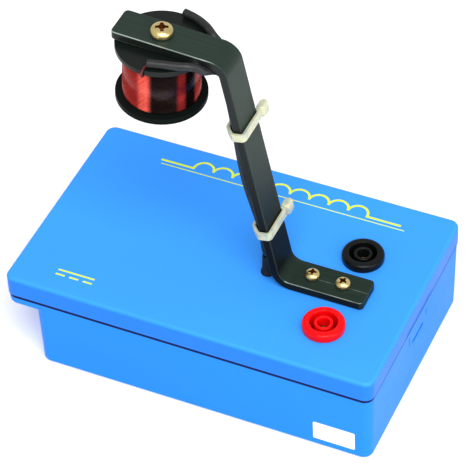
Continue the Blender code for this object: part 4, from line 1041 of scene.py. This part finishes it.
def build_sockets():
    sizes = bpy.context.scene.em_socket
    gap = bpy.context.scene.em_box.seat_gap
    for side in ("black", "red"):
        centre = middle_of(side + "_socket")
        place = Vector((centre.x, centre.y, lid_top()))
        body = moved(turned(socket_profile(sizes, gap), ROUND_STEPS, ring=True), place)
        plastic = moulded(side + "_socket_plastic", side + "_socket", 0.26, 0.14)
        piece(side + "_socket_body", body, [plastic], [side + "_socket"])


def build_coil():
    sizes = bpy.context.scene.em_coil
    gap = bpy.context.scene.em_box.seat_gap
    place = coil_place()
    top = -gap
    bottom = top - sizes.height
    radius = sizes.bobbin / 2
    bore = sizes.core / 2 + gap
    hub = bore + sizes.hub_wall
    inner_top = top - sizes.top_flange
    inner_bottom = bottom + sizes.bottom_flange
    profile = eased([
        (bore, top, 0), (radius, top, sizes.edge), (radius, inner_top, sizes.edge), (hub, inner_top, 0),
        (hub, inner_bottom, 0), (radius, inner_bottom, sizes.edge), (radius, bottom, sizes.edge),
        (bore, bottom, 0)], 4)
    bobbin = moved(turned(profile, 128, ring=True), place)
    plastic = moulded("bobbin_plastic", "bobbin", 0.3)
    ends = [corner.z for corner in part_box("bobbin")]
    plastic.set("Specular IOR Level", plastic.ranged(plastic.axis("Z"), *ends, 0.0, 0.2))
    piece("bobbin_turned", bobbin, [plastic], ["bobbin"])

    high = inner_top - gap
    low = inner_bottom + gap
    wire = sizes.wire / 2
    outer = sizes.winding / 2
    body = turned([(hub + gap, high), (outer - 2 * wire, high), (outer - 2 * wire, low), (hub + gap, low)],
                  ROUND_STEPS, ring=True)
    turns = int((high - low - sizes.wire) / sizes.turn_spacing)
    steps = 72
    helix = []
    for i in range(turns * steps + 1):
        turn = math.tau * i / steps
        height = high - wire - sizes.turn_spacing * i / steps
        helix.append(Vector(((outer - wire) * math.cos(turn), (outer - wire) * math.sin(turn), height)))
    winding = joined([body, tube(helix, wire, 1)])
    piece("winding_turns", moved(winding, place), [winding_enamel(place)], ["winding"],
          flat_weight=False)

    pole = bottom - sizes.core_proud
    core = eased([(0, -sizes.top_flange, 0), (sizes.core / 2, -sizes.top_flange, 0),
                  (sizes.core / 2, pole, sizes.core_edge), (0, pole, 0)], 2)
    piece("core_bar", moved(turned(core, SMALL_STEPS), place), [metal("core_iron", "iron", 0.4, 0.7)],
          ["core"])


def winding_enamel(place):
    """Red enamel with painted reflections: bright and dark bands that run along the coil, by the angle about
    its axis, with fine slanted lines on its left.
    """
    enamel = Finish("winding_enamel", tone_of("enamel"), 0.25, metallic=0.6, specular=0.15)
    enamel.place = enamel.about(place)
    # Painted reflections: the tone follows the angle about the coil's axis
    around = {0: enamel.axis("Y"), 1: enamel.axis("X")}
    turn = enamel.node("ShaderNodeMath", around, operation="ARCTAN2").outputs[0]
    reflection_bands = enamel.node("ShaderNodeValToRGB", {"Fac": enamel.ranged(turn, -math.pi, math.pi)})
    reflection_bands.color_ramp.interpolation = "EASE"
    while len(reflection_bands.color_ramp.elements) < len(WINDING_REFLECTION_BANDS):
        reflection_bands.color_ramp.elements.new(0.5)
    for element, (degrees, tone) in zip(reflection_bands.color_ramp.elements, WINDING_REFLECTION_BANDS):
        element.position = degrees / 360 + 0.5
        element.color = (*tone_of(tone), 1.0)
    enamel.set("Base Color", reflection_bands.outputs["Color"])
    # Fine slanted dark lines across the painted highlight band
    slant = {"Vector": enamel.place, "Rotation": (0.0, 0.9, 0.0)}
    slanted = enamel.node("ShaderNodeMapping", slant).outputs[0]
    enamel.mixed(tone_of("enamel_deep"), enamel.ranged(turn, math.radians(-85), math.radians(-92)),
                 enamel.ranged(enamel.grain(0.5 * MM, (20.0, 20.0, 1.0), at=slanted), 0.4, 0.8, 0.0, 0.6))
    return enamel.sheen(0.18, 0.36, 1.0 * MM)


def lead_route(side):
    """The lead's points: over the bobbin's flange, under the strip, down the arm, to its socket."""
    sizes = bpy.context.scene.em_lead
    strip = bpy.context.scene.em_bracket
    coil_sizes = bpy.context.scene.em_coil
    gap = bpy.context.scene.em_box.seat_gap
    low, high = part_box("bracket")
    rest = sizes.sleeve / 2
    clear = rest + gap
    radius = coil_sizes.bobbin / 2
    beyond = radius + clear
    beside = (high.y - low.y) / 2 + clear + gap
    over = [(x * radius, y * radius, rest) for x, y in (FRONT_COURSE if side < 0 else BACK_COURSE)]
    if side < 0:
        over += [(x * MM, y * MM, height * MM) for x, y, height in UNDER_COURSE]
    else:
        over += [(beyond * 0.86, beside + gap, rest), (beyond, beside, -rest),
                 (beyond + clear / 2, beside - clear, -1.9 * sizes.sleeve)]
    coil = coil_place()
    route = [coil @ Vector(point) for point in over]
    stations = [(sizes.upper_tie, 0.0), ((sizes.upper_tie + sizes.lower_tie) / 2, sizes.bulge),
                (sizes.lower_tie, 0.0), (sizes.lower_tie / 2, rest / 2)]
    pair_y = (low.y + high.y) / 2 - sizes.pair_offset
    if side > 0:
        beside_coil = (-strip.thickness - clear, high.y - 2 * rest, strip.arm - coil_sizes.height / 2)
        route.append(arm_place() @ Vector(beside_coil))
    for height, bulge in stations:
        out = -(strip.thickness + clear + bulge)
        route.append(arm_place() @ Vector((out, pair_y + side * sizes.spacing / 2, height)))
    bush = bush_place() + Vector((0, side * (rest + gap / 2), 0))
    plate = bpy.context.scene.em_box.plate
    rises = (sizes.collar_height, sizes.collar_height / 2, -plate, -2 * plate)
    route += [bush + Vector((0, 0, rise)) for rise in rises]
    socket = "red" if side < 0 else "black"
    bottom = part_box(socket + "_contact")[0].z - gap - rest
    corner = Vector((bush.x, bush.y, bottom))
    across = Vector((middle_of(socket + "_socket").x, middle_of(socket + "_socket").y, bottom)) - corner
    settle = [(0.08, (bush.z - bottom) / 3), (0.35, sizes.settle_rise), (0.7, 0), (1.04, 0)]
    return route + [corner + across * part + Vector((0, 0, rise)) for part, rise in settle]


def swell_at(point):
    """A sleeve's width at one of its points: swollen where the wire enters, then fading to plain."""
    return 1 + bpy.context.scene.em_lead.swell * max(0.0, min(1.0, 2 - point / SWELL_POINTS))


def build_sleeves():
    sizes = bpy.context.scene.em_lead
    for label, side in (("front", -1), ("back", 1)):
        sleeve = Finish(label + "_sleeve", tone_of("sleeve"), 0.42, specular=0.3)
        sleeve.mottle(tone_of("sleeve", 1.8), 1.5 * MM)
        sleeve.sheen(0.34, 0.52, 2.0 * MM)
        sleeve.bump(0.03 * MM, 0.6 * MM)
        shape = tube(smooth_path(lead_route(side), 1.0 * MM), sizes.sleeve / 2, 6, swell_at)
        piece(label + "_lead_sleeve", shape, [sleeve], [label + "_lead"], flat_weight=False)


def build_tails():
    """The bare wire from the winding, up past the top flange and into each sleeve."""
    sizes = bpy.context.scene.em_lead
    coil_sizes = bpy.context.scene.em_coil
    gap = bpy.context.scene.em_box.seat_gap
    lean = sizes.tail_lean
    rest = sizes.sleeve / 2
    radius = coil_sizes.bobbin / 2
    wire = coil_sizes.wire / 2
    clear = gap + wire
    low = -gap - coil_sizes.top_flange
    first = coil_sizes.winding / 2 + clear
    rim = radius + clear
    tails = (("front", -1, FRONT_COURSE, VARNISHED_TAIL), ("back", 1, BACK_COURSE, 1.0))
    for label, side, course, width in tails:
        end = Vector(course[0]) * radius
        outward = [(0.9, first, low - clear - 4 * wire), (0.8, (first + rim) / 2, low - clear - 2 * wire),
                   (0.6, rim + wire, low), (0.6, rim, low / 2), (0.5, rim - wire, 0.0),
                   (0.3, (rim + 2 * abs(end.y)) / 3, wire)]
        route = [Vector((end.x + side * part * lean, side * reach, height))
                 for part, reach, height in outward]
        route.append(Vector((end.x + lean / 2, end.y, rest / 3)))
        enamel = Finish(label + "_tail_enamel", tone_of("enamel_deep", 0.7), 0.28, metallic=0.2)
        enamel.mottle(tone_of("varnish_and_dark_reflection"), 1.0 * MM)
        shape = moved(tube(smooth_path(route, 0.4 * MM), wire * width, 3), coil_place())
        piece(label + "_tail_wire", shape, [enamel], [label + "_wire_tail"],
              flat_weight=False)


def tie_band(sizes, strip_y, gap):
    """The band of a tie: a sheet drawn round the strip and both sleeves, thickened outwards."""
    thickness = bpy.context.scene.em_bracket.thickness
    rest = sizes.sleeve / 2
    wrapped = [((out, y), 2 * gap) for out in (-thickness + gap, -gap)
               for y in (strip_y[0] + gap, strip_y[1] - gap)]
    pair_y = sum(strip_y) / 2 - sizes.pair_offset
    wrapped += [((-(thickness + gap + rest), pair_y + side * sizes.spacing / 2), rest + gap)
                for side in (-1, 1)]
    band = bmesh.new()
    for (x, y), radius in wrapped:
        bmesh.ops.create_cone(band, cap_ends=True, segments=48, radius1=radius, radius2=radius,
                              depth=sizes.tie_width, matrix=Matrix.Translation((x, y, 0)))
    outside = bmesh.ops.convex_hull(band, input=band.verts)
    inner = outside["geom_interior"] + outside["geom_unused"]
    spare = {item for item in inner if isinstance(item, bmesh.types.BMVert)}
    bmesh.ops.delete(band, geom=list(spare), context="VERTS")
    ends = [f for f in band.faces if abs(f.normal.z) > 0.5]
    bmesh.ops.delete(band, geom=ends, context="FACES")
    bmesh.ops.dissolve_limit(band, angle_limit=math.radians(1), verts=band.verts, edges=band.edges)
    bmesh.ops.recalc_face_normals(band, faces=band.faces)
    bmesh.ops.solidify(band, geom=band.faces[:], thickness=-sizes.tie_thickness)
    bmesh.ops.recalc_face_normals(band, faces=band.faces)
    rims = [e for e in band.edges if e.calc_face_angle(0.0) > math.radians(60)]
    bevel(band, rims, 0.2 * MM, 2)
    return band


def build_ties():
    sizes = bpy.context.scene.em_lead
    gap = bpy.context.scene.em_box.seat_gap
    low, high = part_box("bracket")
    for label, height in (("upper", sizes.upper_tie), ("lower", sizes.lower_tie)):
        band = tie_band(sizes, (low.y, high.y), gap)
        middle = sizes.tie_thickness / 2
        back = high.y + gap + middle
        depth = sizes.head_thickness / 2
        width = sizes.head_width / 2
        far = back + sizes.head_length + middle
        rounding = sizes.head_rounding
        head = box_mesh((middle - depth, back, -width), (middle + depth, far, width),
                        rounding, rounding / 2, rounding / 2)
        tie = combined(band, added(head))
        nylon = Finish(label + "_tie_nylon", tone_of("nylon"), 0.35)
        nylon.set("Subsurface Weight", 0.25).set("Subsurface Scale", 0.8 * MM)
        # Patches of painted shade, partly the black strip showing through the nylon
        nylon.mottle(tone_of("nylon_shade"), 3.0 * MM, low=0.45, high=0.75)
        nylon.sheen(0.28, 0.45, 1.0 * MM)
        nylon.bump(0.03 * MM, 0.5 * MM)
        place = arm_place() @ Matrix.Translation((0, 0, height))
        piece(label + "_tie", moved(tie, place), [nylon], [label + "_cable_tie"])


def build_bush():
    sizes = bpy.context.scene.em_lead
    box = bpy.context.scene.em_box
    bore, neck, hole, spread = bush_radii()
    flange = hole + sizes.bush_flange
    collar = bore + sizes.collar_wall
    low = -box.plate - box.seat_gap
    top = box.seat_gap + sizes.bush_height
    ease = sizes.bush_height / 3
    profile = eased([
        (bore, sizes.collar_height, ease / 3), (collar, sizes.collar_height, ease / 3),
        (collar + ease / 2, top + sizes.bush_height, ease), (collar + ease * 1.5, top, ease),
        (flange, (top + box.seat_gap) / 2, ease / 2), (flange, box.seat_gap, 0), (neck, box.seat_gap, 0),
        (neck, low, 0), (flange, low, 0), (flange, low - sizes.bush_height, ease),
        (bore, low - sizes.bush_height, ease / 2)], 4)
    rubber = Finish("bush_rubber", tone_of("rubber"), 0.6, specular=0.2)
    rubber.mottle(tone_of("rubber", 1.6), 0.8 * MM)
    rubber.bump(0.03 * MM, 0.3 * MM)
    ring = moved(oval_ring(profile, spread), bush_place())
    piece("lead_bush_ring", ring, [rubber], ["lead_bush"])


def bar(left, right, low, high):
    """A flat bar on the level plane."""
    shape = bmesh.new()
    place = Matrix.Translation(((left + right) / 2, (low + high) / 2, 0)) @ Matrix.Diagonal(
        ((right - left) / 2, (high - low) / 2, 1, 1))
    bmesh.ops.create_grid(shape, x_segments=1, y_segments=1, size=1, matrix=place)
    return shape


def flat_figure(outline):
    """The flat figure inside a closed outline of (x, y) points."""
    shape = bmesh.new()
    chain = [shape.verts.new((x, y, 0)) for x, y in outline]
    lines = [shape.edges.new(pair) for pair in zip(chain, chain[1:] + chain[:1])]
    bmesh.ops.contextual_create(shape, geom=lines)
    return shape


def coil_outline(sizes):
    """The outline of a row of half rings between two bars: under their hollows, then back over them."""
    outer = sizes.hump
    inner = outer - sizes.stroke
    step = outer + inner
    first = (sizes.coil_left + sizes.coil_right - step * (sizes.humps - 1)) / 2
    middles = [first + step * i for i in range(sizes.humps)]
    low = sizes.coil_y - sizes.stroke
    crossing = math.degrees(math.acos(step / 2 / outer))
    under = [(sizes.coil_left, low), (middles[0] - inner, low)]
    for middle in middles:
        under += arc((middle, sizes.coil_y), inner, 180, 0, LOOP_STEPS)
    under += [(middles[-1] + inner, low), (sizes.coil_right, low), (sizes.coil_right, sizes.coil_y)]
    over = []
    for middle in reversed(middles):
        start = 0 if middle == middles[-1] else crossing
        end = 180 if middle == middles[0] else 180 - crossing
        over += arc((middle, sizes.coil_y), outer, start, end, LOOP_STEPS)[:-1]
    return under + over + [(middles[0] - outer, sizes.coil_y), (sizes.coil_left, sizes.coil_y)]


def printed(name, flats, level, ink):
    """Flat figures raised to the thickness of ink on the lid and melted into one."""
    raised = []
    for flat in flats:
        bmesh.ops.remove_doubles(flat, verts=flat.verts, dist=MERGE)
        body = bmesh.ops.extrude_face_region(flat, geom=flat.faces[:])["geom"]
        lifted = [item for item in body if isinstance(item, bmesh.types.BMVert)]
        bmesh.ops.translate(flat, vec=(0, 0, bpy.context.scene.em_print.thickness), verts=lifted)
        bmesh.ops.recalc_face_normals(flat, faces=flat.faces)
        raised.append(flat)
    figure = combined(raised[0], added(*raised[1:])) if len(raised) > 1 else raised[0]
    piece(name, moved(figure, (0, 0, level)), [ink], flat_weight=False)


def build_print():
    sizes = bpy.context.scene.em_print
    ink = Finish("yellow_ink", tone_of("ink"), 0.45)
    ink.mottle(tone_of("ink", 0.85), 0.8 * MM)
    ink.bump(0.01 * MM, 0.3 * MM)
    level = lid_top() + sizes.thickness
    line = bar(sizes.line_left, sizes.line_right, sizes.line_y - sizes.line_width / 2,
               sizes.line_y + sizes.line_width / 2)
    printed("print_underline", [line], level, ink)

    printed("print_coil_symbol", [flat_figure(coil_outline(sizes))], level, ink)

    half = sizes.supply_stroke / 2
    upper = sizes.supply_y + sizes.supply_rise / 2
    lower = sizes.supply_y - sizes.supply_rise / 2
    right = sizes.supply_x + sizes.supply_length
    figures = [bar(sizes.supply_x, right, upper - half, upper + half)]
    dash = sizes.supply_length / 4
    for i in range(3):
        start = sizes.supply_x + i * dash * 1.5
        figures.append(bar(start, start + dash, lower - half, lower + half))
    printed("print_supply_symbol", figures, level, ink)


def build_label():
    sizes = bpy.context.scene.em_print
    box = bpy.context.scene.em_box
    wall = -(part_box("lid")[1].y - box.set_back)
    lean = math.atan2(box.draft, box.base_height)
    width = sizes.label_right - sizes.label_left
    height = sizes.label_high - sizes.label_low
    label = box_mesh((-width / 2, -height / 2, 0), (width / 2, height / 2, sizes.label_thickness), 0.5 * MM)
    middle_z = (sizes.label_low + sizes.label_high) / 2
    middle_y = wall + box.draft * (1 - middle_z / box.base_height)
    place = Matrix.Translation(((sizes.label_left + sizes.label_right) / 2, middle_y, middle_z))
    turn = Matrix.Rotation(math.pi / 2 + lean, 4, "X")
    paper = Finish("label_paper", tone_of("label"), 0.4)
    paper.mottle(tone_of("label", 0.95), 1.5 * MM)
    paper.bump(0.01 * MM, 0.5 * MM)
    piece("front_label", moved(label, place @ turn), [paper])


def finish_inside():
    """Finishes for the CAD pieces that stay: they sit out of sight inside the box."""
    finishes = {}
    for side in ("left", "right"):
        for kind in ("foot_washer_", "foot_nut_"):
            finishes[kind + side] = metal(kind + side + "_zinc", "zinc", 0.35)
    for side in ("black", "red"):
        # Dark brass: painted shade down the bores
        finishes[side + "_contact"] = metal(side + "_brass", "brass", 0.3)
        finishes[side + "_socket_nut"] = moulded(side + "_nut_plastic", "bobbin", 0.5)
    for node, finish in finishes.items():
        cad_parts[node].material_slots[0].material = finish.material


def light(name, power, size, place, aim):
    lamp = bpy.data.lights.new(name, "AREA")
    lamp.energy = power
    lamp.shape = "DISK"
    lamp.size = size
    thing = bpy.data.objects.new(name, lamp)
    bpy.context.scene.collection.objects.link(thing)
    thing.location = place
    thing.rotation_mode = "QUATERNION"
    thing.rotation_quaternion = (Vector(aim) - Vector(place)).to_track_quat("-Z", "Y")


def build_stage():
    sizes = bpy.context.scene.em_view
    floor = bpy.data.objects.new("floor", bpy.data.meshes.new("floor"))
    ground = bmesh.new()
    bmesh.ops.create_grid(ground, x_segments=1, y_segments=1, size=4.0)
    ground.to_mesh(floor.data)
    ground.free()
    white = Finish("floor_white", tone_of("floor"), 0.9, specular=0.1)
    white.mottle(tone_of("floor", 0.98), 40 * MM)
    floor.data.materials.append(white.material)
    bpy.context.scene.collection.objects.link(floor)

    world = bpy.data.worlds.new("surround")
    world.use_nodes = True
    world.node_tree.nodes["Background"].inputs["Color"].default_value = (1, 1, 1, 1)
    world.node_tree.nodes["Background"].inputs["Strength"].default_value = sizes.sky
    bpy.context.scene.world = world
    light("key", sizes.key, *KEY_LIGHT)
    light("fill", sizes.fill, *FILL_LIGHT)

    a, e = sizes.azimuth, sizes.elevation
    back = Vector((math.sin(a) * math.cos(e), -math.cos(a) * math.cos(e), math.sin(e)))
    right = Vector((math.cos(a), math.sin(a), 0))
    up = back.cross(right)
    c, s = math.cos(sizes.roll), math.sin(sizes.roll)
    turn = Matrix((right * c + up * s, up * c - right * s, back)).transposed()
    camera = bpy.data.objects.new("camera", bpy.data.cameras.new("camera"))
    bpy.context.scene.collection.objects.link(camera)
    camera.data.lens = sizes.lens
    camera.data.sensor_width = 36.0
    offset = Vector((sizes.shift_x, sizes.shift_y, -sizes.distance))
    camera.matrix_world = Matrix.Translation(-(turn @ offset)) @ turn.to_4x4()
    bpy.context.scene.camera = camera
    bpy.context.scene.view_settings.view_transform = "Standard"


class ELECTROMAGNET_OT_lid(bpy.types.Operator):
    """Build the lid"""

    bl_idname = "electromagnet.lid"
    bl_label = "Lid"

    def execute(self, context):
        build_lid()
        return {"FINISHED"}


class ELECTROMAGNET_OT_base(bpy.types.Operator):
    """Build the tray with its ledge and latch"""

    bl_idname = "electromagnet.base"
    bl_label = "Base"

    def execute(self, context):
        build_base()
        return {"FINISHED"}


class ELECTROMAGNET_OT_bracket(bpy.types.Operator):
    """Build the bent strip"""

    bl_idname = "electromagnet.bracket"
    bl_label = "Bracket"

    def execute(self, context):
        build_bracket()
        return {"FINISHED"}


class ELECTROMAGNET_OT_screws(bpy.types.Operator):
    """Build the three visible screws"""

    bl_idname = "electromagnet.screws"
    bl_label = "Screws"

    def execute(self, context):
        build_screws()
        return {"FINISHED"}


class ELECTROMAGNET_OT_sockets(bpy.types.Operator):
    """Build the two safety sockets"""

    bl_idname = "electromagnet.sockets"
    bl_label = "Sockets"

    def execute(self, context):
        build_sockets()
        return {"FINISHED"}


class ELECTROMAGNET_OT_coil(bpy.types.Operator):
    """Build the bobbin, its winding and the core"""

    bl_idname = "electromagnet.coil"
    bl_label = "Coil"

    def execute(self, context):
        build_coil()
        return {"FINISHED"}


class ELECTROMAGNET_OT_leads(bpy.types.Operator):
    """Build the sleeved leads and the bare wire tails"""

    bl_idname = "electromagnet.leads"
    bl_label = "Leads"

    def execute(self, context):
        build_sleeves()
        build_tails()
        return {"FINISHED"}


class ELECTROMAGNET_OT_ties(bpy.types.Operator):
    """Build the two cable ties and the bush in the lid"""

    bl_idname = "electromagnet.ties"
    bl_label = "Ties and bush"

    def execute(self, context):
        build_ties()
        build_bush()
        return {"FINISHED"}


class ELECTROMAGNET_OT_print(bpy.types.Operator):
    """Build the printed symbols and the blank label"""

    bl_idname = "electromagnet.print"
    bl_label = "Print and label"

    def execute(self, context):
        build_print()
        build_label()
        return {"FINISHED"}


class ELECTROMAGNET_OT_inside(bpy.types.Operator):
    """Give the pieces inside the box their finishes"""

    bl_idname = "electromagnet.inside"
    bl_label = "Inside pieces"

    def execute(self, context):
        finish_inside()
        return {"FINISHED"}


class ELECTROMAGNET_OT_stage(bpy.types.Operator):
    """Set up the floor, the light and the camera"""

    bl_idname = "electromagnet.stage"
    bl_label = "Stage"

    def execute(self, context):
        build_stage()
        return {"FINISHED"}


OPERATORS = (
    ELECTROMAGNET_OT_stage, ELECTROMAGNET_OT_lid, ELECTROMAGNET_OT_base, ELECTROMAGNET_OT_bracket,
    ELECTROMAGNET_OT_screws, ELECTROMAGNET_OT_sockets, ELECTROMAGNET_OT_coil, ELECTROMAGNET_OT_leads,
    ELECTROMAGNET_OT_ties, ELECTROMAGNET_OT_print, ELECTROMAGNET_OT_inside,
)


class ELECTROMAGNET_PT_panel(bpy.types.Panel):
    """Lists the operators and the sizes and colours that they use"""

    bl_label = "Electromagnet"
    bl_idname = "ELECTROMAGNET_PT_panel"
    bl_space_type = "VIEW_3D"
    bl_region_type = "UI"
    bl_category = "Electromagnet"

    def draw(self, context):
        for operator in OPERATORS:
            self.layout.operator(operator.bl_idname)
        for name in GROUPS:
            group = getattr(context.scene, name)
            section = self.layout.box()
            for key in group.__annotations__:
                section.prop(group, key)


CLASSES = (*GROUPS.values(), *OPERATORS, ELECTROMAGNET_PT_panel)


def register():
    for kind in CLASSES:
        bpy.utils.register_class(kind)
    for name, kind in GROUPS.items():
        setattr(bpy.types.Scene, name, PointerProperty(type=kind))


def unregister():
    for name in GROUPS:
        delattr(bpy.types.Scene, name)
    for kind in reversed(CLASSES):
        bpy.utils.unregister_class(kind)


def main():
    register()
    for operator in OPERATORS:
        getattr(bpy.ops.electromagnet, operator.bl_idname.split(".")[1])()


if __name__ == "__main__":
    main()
